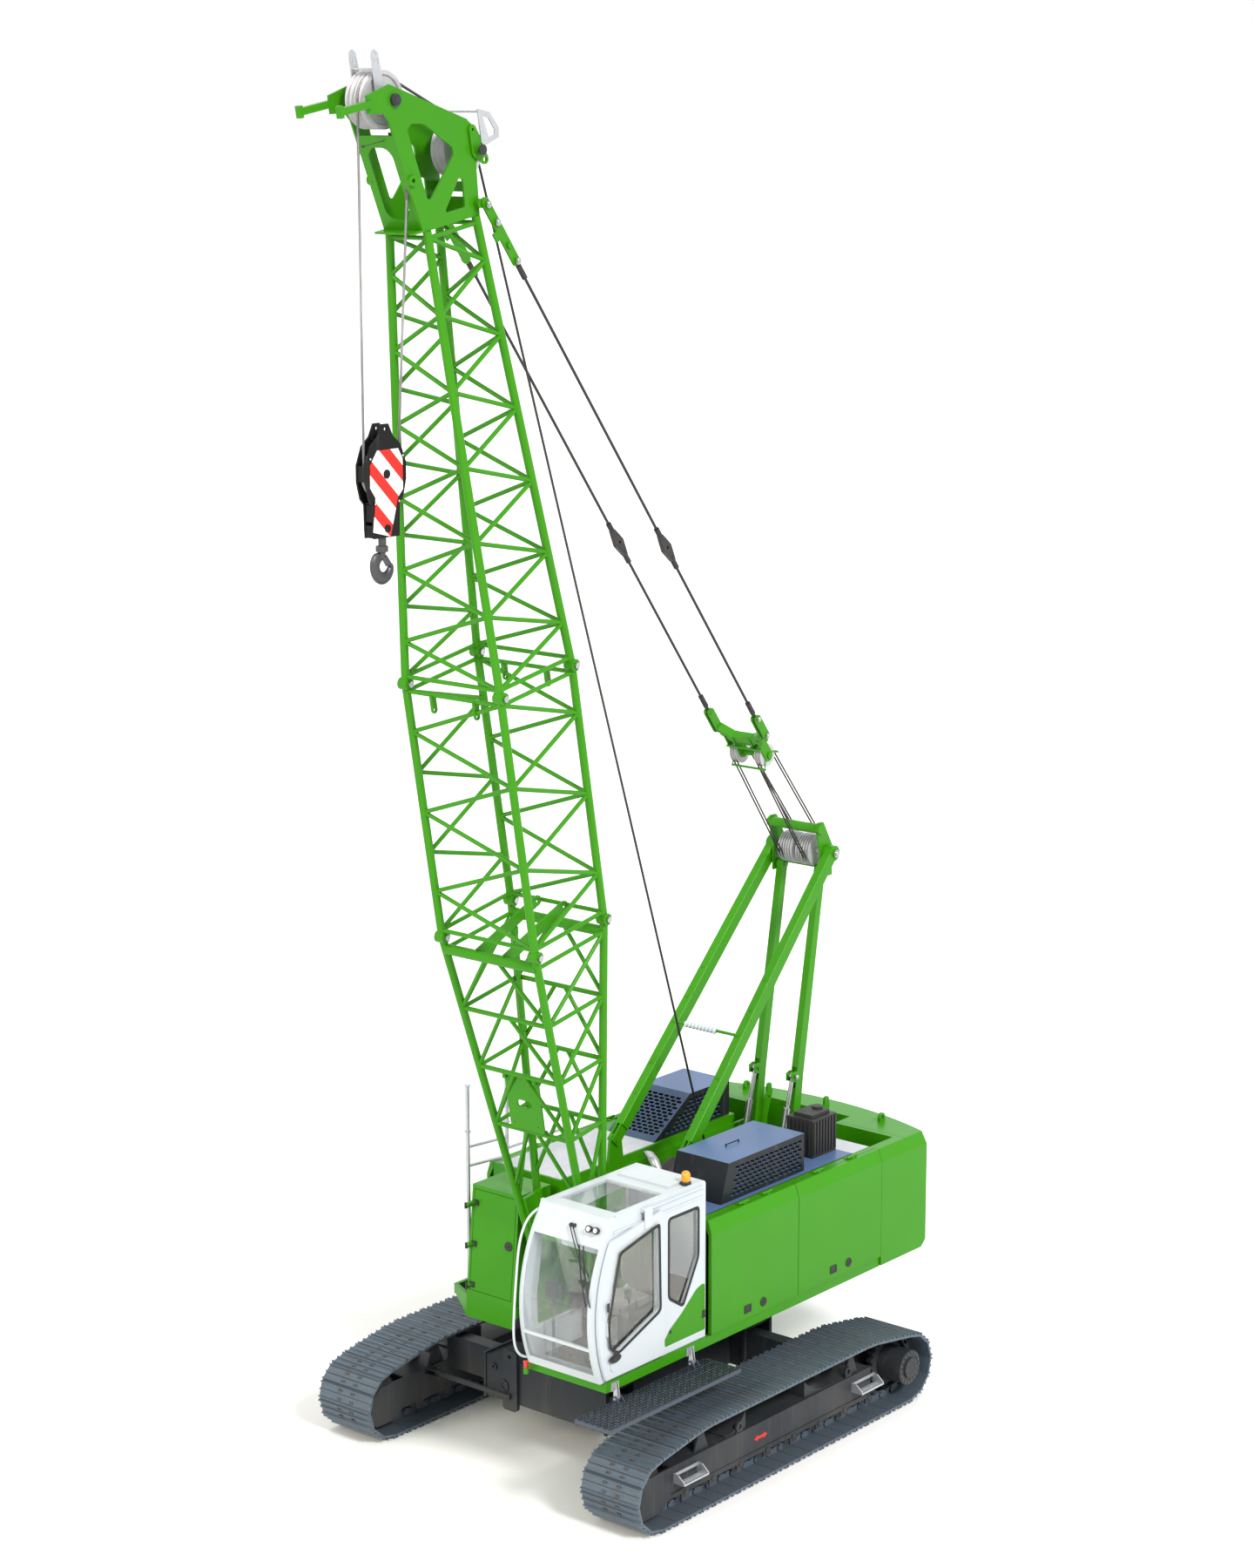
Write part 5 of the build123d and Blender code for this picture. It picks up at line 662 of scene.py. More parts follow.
SIDES = (("left", 1), ("right", -1))
for side, sign in SIDES:
    shoes, links, heads = chain_pieces(sign * TRACK_Y)
    plates = mesh_object(f"{side}_track_shoes", *shoes, MAT["track"], f"{side}_track")
    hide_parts(f"{side}_track_loop")
    mesh_object(f"{side}_track_links", *links, MAT["track"], f"{side}_track")
    mesh_object(f"{side}_shoe_bolts", *heads, MAT["machine"], f"{side}_track")
print("shoes per track:", SHOES)

# %% [markdown]
# ## Hoist rope
# A taut wire rope runs straight, so each free length is a tube of two rings between two fixed points: from the
# winch to the head of the boom, and down to the hook block and up again. The turns round a sheave ride on that
# sheave's body. The rope ends in a socket on a link, which hangs from an eye on the head axle.

# %% Hoist rope
ROPE_R, SHEAVE_R, BLOCK_R, LEAD_Y = 0.012, 0.235, 0.214, 0.027
REAR, HEAD, BLOCK = (2.3635, 12.680), (3.3934, 13.1146), (3.3934, 9.9)
DRUM_POINT, REAR_POINT = (-1.3609, 0.0, 2.1194), (2.1403, 0.0, 12.7535)
REAR_FALL_TOP = (3.197, 0.185, 12.40)


def arc(centre, radius, start, end, y, count=24):
    """Points of an arc in an upright plane: x = cx + r cos(a), z = cz + r sin(a), angles in degrees."""
    a = np.radians(np.linspace(start, end, count))
    x, z = centre[0] + radius * np.cos(a), centre[1] + radius * np.sin(a)
    return np.stack([x, np.full(count, y), z], 1)


def taut(name, start, end, radius, material):
    """A straight rope between two fixed points, baked into place on no body."""
    obj = mesh_object(name, *rods(start, end, radius, 10), MAT[material], None, smooth=True)
    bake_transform(obj)
    return obj


def bent(name, path, material, body):
    """A length of hoist rope that lies round a sheave."""
    return mesh_object(name, *sweep(path, ROPE_R), MAT[material], body, smooth=True)


taut("hoist_rope_to_winch", DRUM_POINT, REAR_POINT, ROPE_R, "rope")
over = np.vstack([arc(REAR, SHEAVE_R, 161.6, 112.9, 0.0), arc(HEAD, SHEAVE_R, 112.9, 100.0, LEAD_Y, 4)])
bent("hoist_rope_on_head", over, "rope", "boom")
bent("hoist_rope_on_head_sheave", arc(HEAD, SHEAVE_R, 112.0, 0.0, LEAD_Y), "steel_rope", "head_sheave_pack")
bent("hoist_rope_in_block", arc(BLOCK, BLOCK_R, 0.0, -180.0, 0.0), "steel_rope", "hook_assembly")
taut("hoist_fall_front", (HEAD[0] + SHEAVE_R, LEAD_Y, HEAD[1]), (BLOCK[0] + BLOCK_R, 0.0, BLOCK[1]), ROPE_R,
     "steel_rope")
taut("hoist_fall_rear", REAR_FALL_TOP, (BLOCK[0] - BLOCK_R, 0.0, BLOCK[1]), ROPE_R,
     "steel_rope")
socket = lathes([(3.197, 0.1805, 12.33)], (0.001, 0.07, 1.0),
                [(0.012, -0.06), (0.018, -0.05), (0.022, 0.02), (0.022, 0.06), (0.012, 0.075)], 14)
link = rods([(3.199, 0.186, 12.39)], [(HEAD[0], 0.186, HEAD[1])], 0.012)
eye = lathes([(HEAD[0], 0.178, HEAD[1])], (0, 1, 0),
             [(0.066, 0.0), (0.066, 0.016), (0.05, 0.0165), (0.05, 0.017)], 24)
mesh_object("rope_end_link", *join(socket, link, eye), MAT["machine"], "head_sheave_pack", smooth=False)
print("hoist rope: 3 free lengths")

# %% [markdown]
# ## Boom hoist falls
# Eight falls of thinner rope join the gantry's sheaves to the bridle and hold the boom up. Neighbouring falls
# leave their sheaves on opposite sides, above and below the line between the two axles.

# %% Boom hoist falls
GANTRY, BRIDLE = np.array((-2.85, 5.39)), np.array((-1.9746, 6.5459))
GANTRY_SHEAVE_R, BRIDLE_SHEAVE_R, FALL_R = 0.158, 0.112, 0.0085
FALLS_Y = (-0.18, -0.159, -0.139, -0.125, 0.125, 0.139, 0.159, 0.18)
way = (BRIDLE - GANTRY) / np.linalg.norm(BRIDLE - GANTRY)
across = np.array((-way[1], way[0]))
for i, y in enumerate(FALLS_Y):
    lift = 1 if i % 2 else -1
    low, high = GANTRY + across * lift * GANTRY_SHEAVE_R, BRIDLE + across * lift * BRIDLE_SHEAVE_R
    taut(f"boom_hoist_fall_{i}", (low[0], y, low[1]), (high[0], y, high[1]), FALL_R, "rope")
print("boom hoist:", len(FALLS_Y), "falls")

# %% [markdown]
# ## Rope on the winch drums
# A full drum is a row of rope turns side by side. From outside only their bulges show, so each drum wears one
# turned sleeve whose radius rises and falls once for every turn, r + b |sin(pi n y / w)|.

# %% Rope on the winch drums
TURNS, HALF_WIDTH, TURN_BULGE = 34, 0.37, 0.0105
DRUMS = (((-1.15, 2.05), 0.2105), ((-1.85, 1.90), 0.1705))
y = np.linspace(-HALF_WIDTH, HALF_WIDTH, TURNS * 6 + 1)
wraps = []
for (x, z), radius in DRUMS:
    bulge = radius + TURN_BULGE * np.abs(np.sin(np.pi * TURNS * (y + HALF_WIDTH) / (2 * HALF_WIDTH)))
    profile = np.vstack([[(radius - 0.002, y[0])], np.stack([bulge, y], 1), [(radius - 0.002, y[-1])]])
    wraps.append(lathes([(x, 0, z)], (0, 1, 0), profile, 40))
mesh_object("drum_rope", *join(*wraps), MAT["rope"], "upper", smooth=True)
print("drum rope: turns on each drum", TURNS)

# %% [markdown]
# ## Seat
# The driver's seat is a sprung pan with a foam cushion, a back and a headrest. Cloth over foam bulges in the
# middle and is pinched at its piping, so each cushion is a rounded block pushed out by a smooth hump.

# %% Seat cushions
def cushion(centre, size, tilt, bulge=0.05, count=14, power=3.2):
    """A rounded block: |x|^p + |y|^p + |z|^p = 1 on a subdivided cube, scaled, swollen and tilted about Y."""
    g = np.linspace(-1, 1, count)
    u, v = np.meshgrid(g, g, indexing="ij")
    one = np.ones_like(u)
    sides = ((u, v, one), (v, u, -one), (one, u, v), (-one, v, u), (v, one, u), (u, -one, v))
    faces3 = [np.stack(s, -1) for s in sides]
    cube = np.concatenate([f.reshape(-1, 3) for f in faces3])
    ball = cube / (np.abs(cube) ** power).sum(1, keepdims=True) ** (1 / power)
    seam = 1 - 0.05 * np.exp(-((np.abs(ball[:, 1]) - 0.55) / 0.07) ** 2)
    ball = ball * np.stack([seam, np.ones_like(seam), seam], 1) * (1 - bulge)
    c, s = math.cos(tilt), math.sin(tilt)
    turn = np.array([[c, 0, s], [0, 1, 0], [-s, 0, c]])
    points = (ball * np.asarray(size) / 2) @ turn.T + centre
    i, j = np.meshgrid(np.arange(count - 1), np.arange(count - 1), indexing="ij")
    quad = np.stack([i * count + j, (i + 1) * count + j, (i + 1) * count + j + 1, i * count + j + 1], -1)
    return points, [np.concatenate([quad.reshape(-1, 4) + n * count * count for n in range(6)])]


LEAN_BACK = math.radians(-8)
SEAT = (("seat_cushion", (1.25, 0.95, 1.80), (0.54, 0.50, 0.13), 0.0),
        ("seat_back", (0.97, 0.95, 2.15), (0.13, 0.48, 0.64), LEAN_BACK),
        ("seat_headrest", (0.915, 0.95, 2.52), (0.11, 0.30, 0.20), LEAN_BACK))
for name, centre, size, tilt in SEAT:
    pad = mesh_object(name, *cushion(np.array(centre), size, tilt), MAT["fabric"], "upper", smooth=True)
    weld = pad.modifiers.new("weld", "WELD")
    weld.merge_threshold = 0.0005
    if name == "seat_cushion":
        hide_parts("cab_seat")
stems = rods([(0.935, 0.88, 2.42), (0.935, 1.02, 2.42)], [(0.92, 0.88, 2.50), (0.92, 1.02, 2.50)], 0.007)
mesh_object("headrest_stems", *stems, MAT["bright"], "upper", smooth=True)
print("seat cushions:", len(SEAT))

# %% [markdown]
# ## Lamps
# The amber beacon is a dome on a black foot. A red lamp on a green foot stands beside the cab's front corner, and
# a small red lamp marks each hood. All are turned shapes: a profile of radius and height carried round an axis.

# %% Lamps
def standing(name, places, profile, sides, material, smooth=False):
    """Pieces turned about an upright axis that stand on the upper structure."""
    return mesh_object(name, *lathes(places, (0, 0, 1), profile, sides), MAT[material], "upper", smooth=smooth)


BEACON, CORNER = [(0.76, 1.335, 2.93)], [(2.15, 0.5037, 1.2305)]
MARKERS = [(-2.2, -0.56, 2.9006), (0.4, 0.64, 2.5222)]
FOOT = [(0.050, 0.001), (0.052, 0.006), (0.052, 0.028), (0.047, 0.036)]
DOME = [(0.044, 0.034), (0.0455, 0.06), (0.0455, 0.098), (0.041, 0.118), (0.030, 0.132), (0.012, 0.139)]
CORNER_FOOT = [(0.024, 0.0), (0.026, 0.004), (0.026, 0.058), (0.022, 0.060)]
CORNER_LENS = [(0.022, 0.064), (0.026, 0.066), (0.026, 0.126), (0.02, 0.130)]
MARKER = [(0.015, 0.0), (0.018, 0.004), (0.018, 0.052), (0.013, 0.066), (0.004, 0.070)]
beacon = standing("beacon_dome", BEACON, DOME, 28, "amber", True)
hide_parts("lamps")
standing("beacon_foot", BEACON, FOOT, 28, "plastic")
standing("corner_lamp_foot", CORNER, CORNER_FOOT, 20, "green")
standing("corner_lamp", CORNER, CORNER_LENS, 20, "red_lens", True)
standing("marker_lamps", MARKERS, MARKER, 18, "red_lens", True)
print("lamps:", len(BEACON + CORNER + MARKERS))

# %% [markdown]
# ## Outline tools
# Trim follows outlines: a border is an outline and a smaller copy inside it, both with rounded corners. Moving
# each corner along the two normals that meet there keeps the border equally wide on every side.


# %% Outline tools
def inset(outline, distance):
    """A closed outline moved inward: p + d (n1 + n2) / (1 + n1.n2), with n1 and n2 its edges' inward normals."""
    p = np.asarray(outline, float)
    edge = np.roll(p, -1, 0) - p
    edge = edge / np.linalg.norm(edge, axis=1, keepdims=True)
    area = 0.5 * np.sum(p[:, 0] * np.roll(p[:, 1], -1) - np.roll(p[:, 0], -1) * p[:, 1])
    n2 = np.stack([-edge[:, 1], edge[:, 0]], 1) * np.sign(area)
    n1 = np.roll(n2, 1, 0)
    return p + distance * (n1 + n2) / (1 + (n1 * n2).sum(1, keepdims=True))


def rounded(outline, radius, steps=6):
    """Corners rounded by (1-t)^2 a + 2t(1-t) p + t^2 b, where a and b lie a radius away along the edges."""
    p = np.asarray(outline, float)
    before, after = np.roll(p, 1, 0) - p, np.roll(p, -1, 0) - p
    a = p + before / np.linalg.norm(before, axis=1, keepdims=True) * radius
    b = p + after / np.linalg.norm(after, axis=1, keepdims=True) * radius
    t = np.linspace(0, 1, steps)[None, :, None]
    return ((1 - t) ** 2 * a[:, None] + 2 * t * (1 - t) * p[:, None] + t ** 2 * b[:, None]).reshape(-1, 2)


def border(outline, width, y, thickness, radius=0.055):
    """A rounded ring in an upright plane: outer and inner loops at y and y + thickness, joined by quads."""
    outer, inner = rounded(outline, radius), rounded(inset(outline, width), max(radius - width * 0.6, 0.02))
    k = len(outer)
    loops = [np.insert(l, 1, v, axis=1) for v in (y, y + thickness) for l in (outer, inner)]
    j, n = np.arange(k), (np.arange(k) + 1) % k
    bands = ((0, 1), (1, 3), (3, 2), (2, 0))
    quads = [np.stack([a * k + j, a * k + n, b * k + n, b * k + j], 1) for a, b in bands]
    return np.vstack(loops), quads


# %% [markdown]
# ## Window borders
# Cab glass is bonded behind a black border, which hides the glue and keeps the sun off it. Each border is a flat
# ring two and a half millimetres thick on the wall or the door, and the door's one slides along with the door.

# %% Window borders
BORDER_WIDTH, BORDER_THICK, BORDER_LAP = 0.03, 0.0025, 0.012
SIDE_WINDOW = [(660, 2700), (1120, 2700), (1120, 1900), (900, 1760), (660, 2200)]
DOOR_WINDOW = [(1320, 1860), (1950, 1620), (2070, 1700), (2090, 1950), (1920, 2600), (1340, 2730)]


def window_border(name, corners, y, body):
    """A black ring round a window whose corners are given in millimetres, lapped a little over the wall."""
    outline = inset(np.array(corners) * 0.001, -BORDER_LAP)
    mesh_object(name, *border(outline, BORDER_WIDTH, y, BORDER_THICK), MAT["rubber"], body)


low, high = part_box("cab_door")
DOOR_Y = high[1]
window_border("side_window_border", SIDE_WINDOW, 1.4152, "upper")
window_border("door_window_border", DOOR_WINDOW, DOOR_Y + 0.0003, "cab_door_body")
print("door face at", round(DOOR_Y, 4))

# %% [markdown]
# ## Wipers, visor and header lamps
# Two wipers hang from the header of the windscreen, a white visor sits behind it, and two round lamps look out
# over it. The windscreen is curved, so the arms and blades are swept along points a small gap in front of it.

# %% Wipers, visor and header lamps
def nose_x(z):
    """The windscreen's profile: the parabola through its foot, belly and header points."""
    (x0, z0), (x1, z1), (x2, z2) = (2.14, 1.35), (2.265, 1.835), (2.04, 2.76)
    return (x0 * (z - z1) * (z - z2) / ((z0 - z1) * (z0 - z2))
            + x1 * (z - z0) * (z - z2) / ((z1 - z0) * (z1 - z2))
            + x2 * (z - z0) * (z - z1) / ((z2 - z0) * (z2 - z1)))


def on_glass(y, z, gap):
    """Points a small gap in front of the windscreen."""
    return np.stack([nose_x(z) + gap, np.broadcast_to(y, z.shape), z], 1)


WIPERS = ((0.981, 1.31), (1.019, 1.36))
PIVOT = [(0.018, -0.012), (0.02, 0.0), (0.016, 0.02), (0.006, 0.026)]
wiper_parts = []
for y_top, y_low in WIPERS:
    arm_z, blade_z = np.linspace(2.80, 2.42, 9), np.linspace(2.66, 2.15, 14)
    blade_y = np.interp(blade_z, [2.15, 2.66], [y_low + 0.055, y_low - 0.16])
    wiper_parts.append(sweep(on_glass(np.linspace(y_top, y_low, 9), arm_z, 0.034), 0.0055, 8))
    wiper_parts.append(sweep(on_glass(blade_y, blade_z, 0.021), 0.0075, 6))
    wiper_parts.append(lathes([(nose_x(2.80) + 0.012, y_top, 2.80)], (1, 0, 0.2), PIVOT, 16))
mesh_object("wipers", *join(*wiper_parts), MAT["plastic"], "upper", smooth=True)
sheet = rounded([(0.77, 2.69), (1.23, 2.69), (1.23, 2.53), (0.77, 2.53)], 0.04)
mesh_object("sun_visor", *slabs([np.insert(sheet, 0, 1.93, axis=1)], 0.006, (-1, 0, 0)), MAT["white"], "upper")
HOUSING = [(0.028, -0.03), (0.034, -0.01), (0.034, 0.008), (0.029, 0.010)]
LENS = [(0.028, 0.006), (0.022, 0.011), (0.010, 0.014), (0.002, 0.015)]
HEADER = [(2.052, 1.211, 2.815), (2.052, 1.296, 2.815)]
mesh_object("header_lamps", *lathes(HEADER, (1, 0, 0.35), HOUSING, 24), MAT["plastic"], "upper", smooth=True)
mesh_object("header_lenses", *lathes(HEADER, (1, 0, 0.35), LENS, 24), MAT["clear_lens"], "upper", smooth=True)
print("wipers:", len(WIPERS), "header lamps:", len(HEADER))

# %% [markdown]
# ## Door handle, latches and the green swoosh
# The handle is a black plate with a bar across its hollow. Behind the door a swoosh of green paint runs down
# the cab's side, and a knob and a clasp hold the door when it is open. Paint is a film, so the swoosh is a plate
# about a millimetre thick, and the knob and the clasp stay flat enough for the door to slide past them.

# %% Door handle, latches and the green swoosh
def oval(half_long, half_high, z, gap):
    """An ellipse on the door's face: x = 1.997 + a cos(t), z = z0 + b sin(t)."""
    t = np.linspace(2 * np.pi, 0, 33)[1:]
    x = 1.997 + half_long * np.cos(t)
    return np.stack([x, np.full(len(t), DOOR_Y + gap), z + half_high * np.sin(t)], 1)


plate = slabs([oval(0.085, 0.042, 1.586, 0.0003)], 0.006, (0, 1, 0))
bar = slabs([oval(0.055, 0.020, 1.590, 0.0066)], 0.010, (0, 1, 0))
latch = boxes([(2.10, DOOR_Y + 0.0075, 2.118)], [(0.022, 0.014, 0.085)])
mesh_object("door_handle", *join(plate, bar, latch), MAT["plastic"], "cab_door_body")
swoosh = rounded([(1.175, 1.425), (1.18, 1.50), (1.10, 1.585), (0.93, 1.69), (0.79, 1.80), (0.70, 1.872),
                  (0.605, 1.902), (0.565, 1.89), (0.562, 1.425)], 0.018, 4)
flat = np.insert(swoosh, 1, 1.4153, axis=1)
area = np.sum(swoosh[:, 0] * np.roll(swoosh[:, 1], -1) - np.roll(swoosh[:, 0], -1) * swoosh[:, 1])
flat = flat if area < 0 else flat[::-1]
mesh_object("green_swoosh", *slabs([flat], 0.0012, (0, 1, 0)), MAT["green"], "upper")
KNOB = [(0.017, 0.0), (0.017, 0.003), (0.011, 0.0045), (0.003, 0.0045)]
knob = lathes([(1.095, 1.4166, 1.557)], (0, 1, 0), KNOB, 20)
clasp = boxes([(0.585, 1.4185, 1.59), (0.585, 1.4185, 1.56)], [(0.040, 0.006, 0.075), (0.055, 0.0045, 0.018)])
mesh_object("cab_latches", *join(knob, clasp), MAT["plastic"], "upper")
print("door handle on the face at y", round(DOOR_Y, 4))

# %% [markdown]
# ## Side door fittings
# Each side door has a square recessed grip and a round lock, both of black plastic. The grip is a frame of four
# bars round a thin back plate, and the lock is turned. They ride on their door, so they lift with it.

# %% Side door fittings
LOCK = [(0.044, 0.0), (0.047, 0.003), (0.045, 0.007), (0.034, 0.008), (0.031, 0.004), (0.012, 0.004),
        (0.010, 0.010), (0.003, 0.011)]
GRIP_Z = 1.461
DOORS = (("front", -0.056, -0.308), ("rear", -1.477, -1.739))
for side, sign in SIDES:
    for place, grip_x, lock_x in DOORS:
        body = f"{side}_{place}_door"
        face = abs(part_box(f"{side}_door_{place}")[1 if sign > 0 else 0][1])
        lock = lathes([(lock_x, sign * (face + 0.0004), GRIP_Z)], (0, sign, 0), LOCK, 24)
        frame_parts = boxes([(grip_x, sign * (face + 0.003), GRIP_Z + s) for s in (0.034, -0.034)]
                            + [(grip_x + s, sign * (face + 0.003), GRIP_Z) for s in (0.046, -0.046)],
                            [(0.105, 0.005, 0.012)] * 2 + [(0.012, 0.005, 0.056)] * 2)
        back = boxes([(grip_x, sign * (face + 0.0012), GRIP_Z)], [(0.085, 0.0015, 0.06)])
        mesh_object(f"{body}_fittings", *join(lock, frame_parts, back), MAT["plastic"], body)
print("doors with fittings:", len(SIDES) * len(DOORS))

# %% [markdown]
# ## Locker fittings
# The locker in front of the right-hand side hangs on three black hinges and closes with a round black latch. Its
# front leans back, so each plate's place follows the line of that face.

# %% Locker fittings
HINGE_Z, LEAN = (1.44, 1.86, 2.28), 0.110 / (2.49 - 1.3503)


def locker_x(z):
    """The leaning front face of the locker."""
    return 1.2 - LEAN * (z - 1.3503)


plate_z = [z + 0.03 for z in HINGE_Z]
hinges = boxes([(locker_x(z) + 0.006, -1.064, z) for z in plate_z], [(0.010, 0.062, 0.056)] * 3)
stud_at = [(z + d, -1.064 + e) for z in plate_z for d in (-0.016, 0.016) for e in (-0.018, 0.018)]
stud_ends = [[(locker_x(z) + gap, y, z) for z, y in stud_at] for gap in (0.010, 0.016)]
studs = rods(stud_ends[0], stud_ends[1], 0.006, 6)
latch = lathes([(locker_x(1.96) + 0.0075, -0.61, 1.9607)], (1, 0, 0.0965), LOCK, 28)
mesh_object("locker_hinge_plates", *join(hinges, studs, latch), MAT["plastic"], "locker_door_body")
print("locker: hinges", len(HINGE_Z), "studs", len(stud_at))

# %% [markdown]
# ## Painted arrows
# A small red double arrow on each track frame marks where the frame is lashed. It is a film of paint, so it is
# modelled as a plate half a millimetre thick on the frame's face, with no lettering.

# %% Painted arrows
ARROW = np.array([(0.43, 0.372), (0.375, 0.405), (0.375, 0.388), (0.275, 0.388), (0.275, 0.405), (0.22, 0.372),
                  (0.275, 0.339), (0.275, 0.356), (0.375, 0.356), (0.375, 0.339)])
for side, sign in SIDES:
    flat = np.insert(ARROW, 1, sign * 1.9253, axis=1)
    plate = slabs([flat if sign > 0 else flat[::-1]], 0.0007, (0, sign, 0))
    mesh_object(f"{side}_frame_arrow", *plate, MAT["red"], f"{side}_track")
print("arrows: 2")

# %% [markdown]
# ## Bolts and boom pins
# Bolted joints show on a machine like this as rings of hexagon heads: round the slew ring and on the final
# drives. The sections of the boom are joined by steel pins with a head at each end. A head is a six-sided bar on
# a flat disc, so a ring of them stays light.


# %% Bolts and boom pins
def hexes(places, normal, radius=0.011, tall=0.008):
    """Hexagon heads with a washer under each: a flat disc and a six-sided prism along the normal."""
    p = np.asarray(places, float)
    n = np.asarray(normal, float) / np.linalg.norm(normal)
    washer = rods(p, p + 0.002 * n, radius * 1.25, 14)
    return join(washer, rods(p + 0.0015 * n, p + (0.0015 + tall) * n, radius, 6))


def circle_at(centre, radius, count, normal_axis):
    """Evenly spaced places on a circle whose axis is Y (1) or Z (2)."""
    a = np.arange(count) * 2 * np.pi / count
    u, v = radius * np.cos(a), radius * np.sin(a)
    flat = np.stack([u, 0 * u, v], 1) if normal_axis == 1 else np.stack([u, v, 0 * u], 1)
    return flat + np.asarray(centre, float)


ring = hexes(circle_at((0, 0, 1.1401), 0.652, 44, 2), (0, 0, 1), 0.0095, 0.012)
mesh_object("slew_ring_bolts", *ring, MAT["machine"], "undercarriage")
for side, sign in SIDES:
    drive = hexes(circle_at((-WHEEL_X, sign * 2.0453, WHEEL_Z), 0.152, 18, 1), (0, sign, 0), 0.012)
    cap = hexes(circle_at((-WHEEL_X, sign * 2.0703, WHEEL_Z), 0.078, 8, 1), (0, sign, 0), 0.009, 0.003)
    mesh_object(f"{side}_drive_bolts", *join(drive, cap), MAT["machine"], f"{side}_track")


def boom_place(along, y, across):
    """A place in the boom's own directions: along it from the foot pin, sideways, and from front to back."""
    return (0.87 + 0.17468 * along - 0.98463 * across, y, 1.45 + 0.98463 * along + 0.17468 * across)


JOINT_AT, JOINT_Y, JOINT_HALF = (4.025, 6.569), 0.589, 0.5
joints = [(s, side * JOINT_Y, a) for s in JOINT_AT for side in (-1, 1) for a in (-JOINT_HALF, JOINT_HALF)]
right_end, left_end, right_cap, left_cap = ([boom_place(s, y + d, a) for s, y, a in joints]
                                            for d in (-0.072, 0.072, -0.078, 0.078))
joint_pins = join(rods(right_end, left_end, 0.022, 16), rods(right_end, right_cap, 0.030, 16),
                  rods(left_end, left_cap, 0.030, 16))
mesh_object("boom_joint_pins", *joint_pins, MAT["bright"], "boom", smooth=False)
print("bolts: slew ring 44, drives 52; boom pins", len(joints))

# %% [markdown]
# ## Pin heads
# A pin through a link is held by a washer and a split ring, so each one shows as a bright round head with a small
# bar through it. One turned profile, scaled to the pin, serves the stays and the gantry.


# %% Pin heads
PIN_HEAD = [(0.031, 0.0), (0.033, 0.002), (0.033, 0.006), (0.022, 0.007), (0.022, 0.016), (0.018, 0.019),
            (0.003, 0.020)]


def pin_heads(places, side, scale=1.0):
    """A washer and a pin's end at each place, facing sideways, each with a split ring standing in its hole."""
    p = np.asarray(places, float)
    out = np.array((0.0, side, 0.0))
    heads = lathes(p, out, np.asarray(PIN_HEAD) * scale, 20)
    across_pin = np.array((0.030, 0.0, 0.012)) * scale
    clips = rods(p + 0.013 * scale * out - across_pin, p + 0.013 * scale * out + across_pin, 0.003 * scale, 6)
    return join(heads, clips)


STAY_TOP, STAY_DIR = np.array((2.32394, 12.22169)), np.array((-0.60373, -0.79717))


def on_stay(along, y):
    """A place on a stay's line: pin at the boom's head + along * direction."""
    x, z = STAY_TOP + along * STAY_DIR
    return (x, y, z)


UPPER_PINS, LOWER_PINS = (0.02, 0.22, 0.66), (6.57, 6.81)
stay_heads = []
for side in (-1, 1):
    stay_heads.append(pin_heads([on_stay(s, side * 0.3323) for s in UPPER_PINS], side))
    stay_heads.append(pin_heads([on_stay(s, side * 0.3423) for s in LOWER_PINS], side, 0.85))
mesh_object("stay_link_pins", *join(*stay_heads), MAT["bright"], "stays")
HEAD_PINS, FOOT_PINS = [(-2.85, 0.4408, 5.39)], [(-0.31, 0.4953, 2.745)]
CYLINDER_PINS = [(-2.382, 0.3055, 3.05), (-2.825, 0.2853, 5.19)]
gantry_heads = [pin_heads([(x, side * y, z) for x, y, z in places], side, scale)
                for places, scale in ((HEAD_PINS, 1.25), (CYLINDER_PINS, 0.8), (FOOT_PINS, 0.95))
                for side in (-1, 1)]
mesh_object("gantry_pins", *join(*gantry_heads), MAT["bright"], "upper")
BLOCK_BOLT = [(0.0125, 0.0), (0.0125, 0.003), (0.009, 0.007), (0.002, 0.008)]
block_spots = [(BLOCK[0] + dx, BLOCK[1] + dz)
               for dx, dz in ((-0.150, -0.250), (0.150, -0.250), (-0.205, 0.148), (0.205, 0.148))]
block_ends = [lathes([(x, side * 0.0723, z) for x, z in block_spots], (0, side, 0), BLOCK_BOLT, 16)
              for side in (-1, 1)]
mesh_object("hook_block_bolts", *join(*block_ends), MAT["bright"], "hook_assembly", smooth=True)
print("pins on the stays: 10, on the gantry: 8, bolts on the hook block:", 2 * len(block_spots))

# %% [markdown]
# ## Limit switch and gantry coil
# A black switch box with a corded weight hangs at the head of the boom and stops the winch before the hook block
# reaches the sheaves. It rides on the sheave pack, as the rope's end does, so the two keep clear of each other. A
# white coil round the gantry's spacer rod keeps the hoist rope off the steel; it is turned, r + b sqrt|sin|.

# %% Limit switch and gantry coil
switch = boxes([(3.292, 0.130, 12.787), (3.285, 0.175, 12.815)], [(0.085, 0.060, 0.105), (0.03, 0.07, 0.03)])
cord = rods([(3.33, 0.12, 12.785)], [(3.585, 0.045, 12.725)], 0.0035, 8)
weight = lathes([(3.585, 0.045, 12.725)], (1, -0.6, -0.3),
                [(0.008, -0.012), (0.011, -0.008), (0.011, 0.012), (0.006, 0.016)], 12)
mesh_object("limit_switch", *join(switch, cord, weight), MAT["plastic"], "head_sheave_pack")
COIL_TURNS, COIL_START, COIL_LONG = 9, -0.27, 0.41
h = np.linspace(COIL_START, COIL_START + COIL_LONG, COIL_TURNS * 10 + 1)
coil = 0.0165 + 0.020 * np.abs(np.sin(np.pi * COIL_TURNS * (h - COIL_START) / COIL_LONG)) ** 0.5
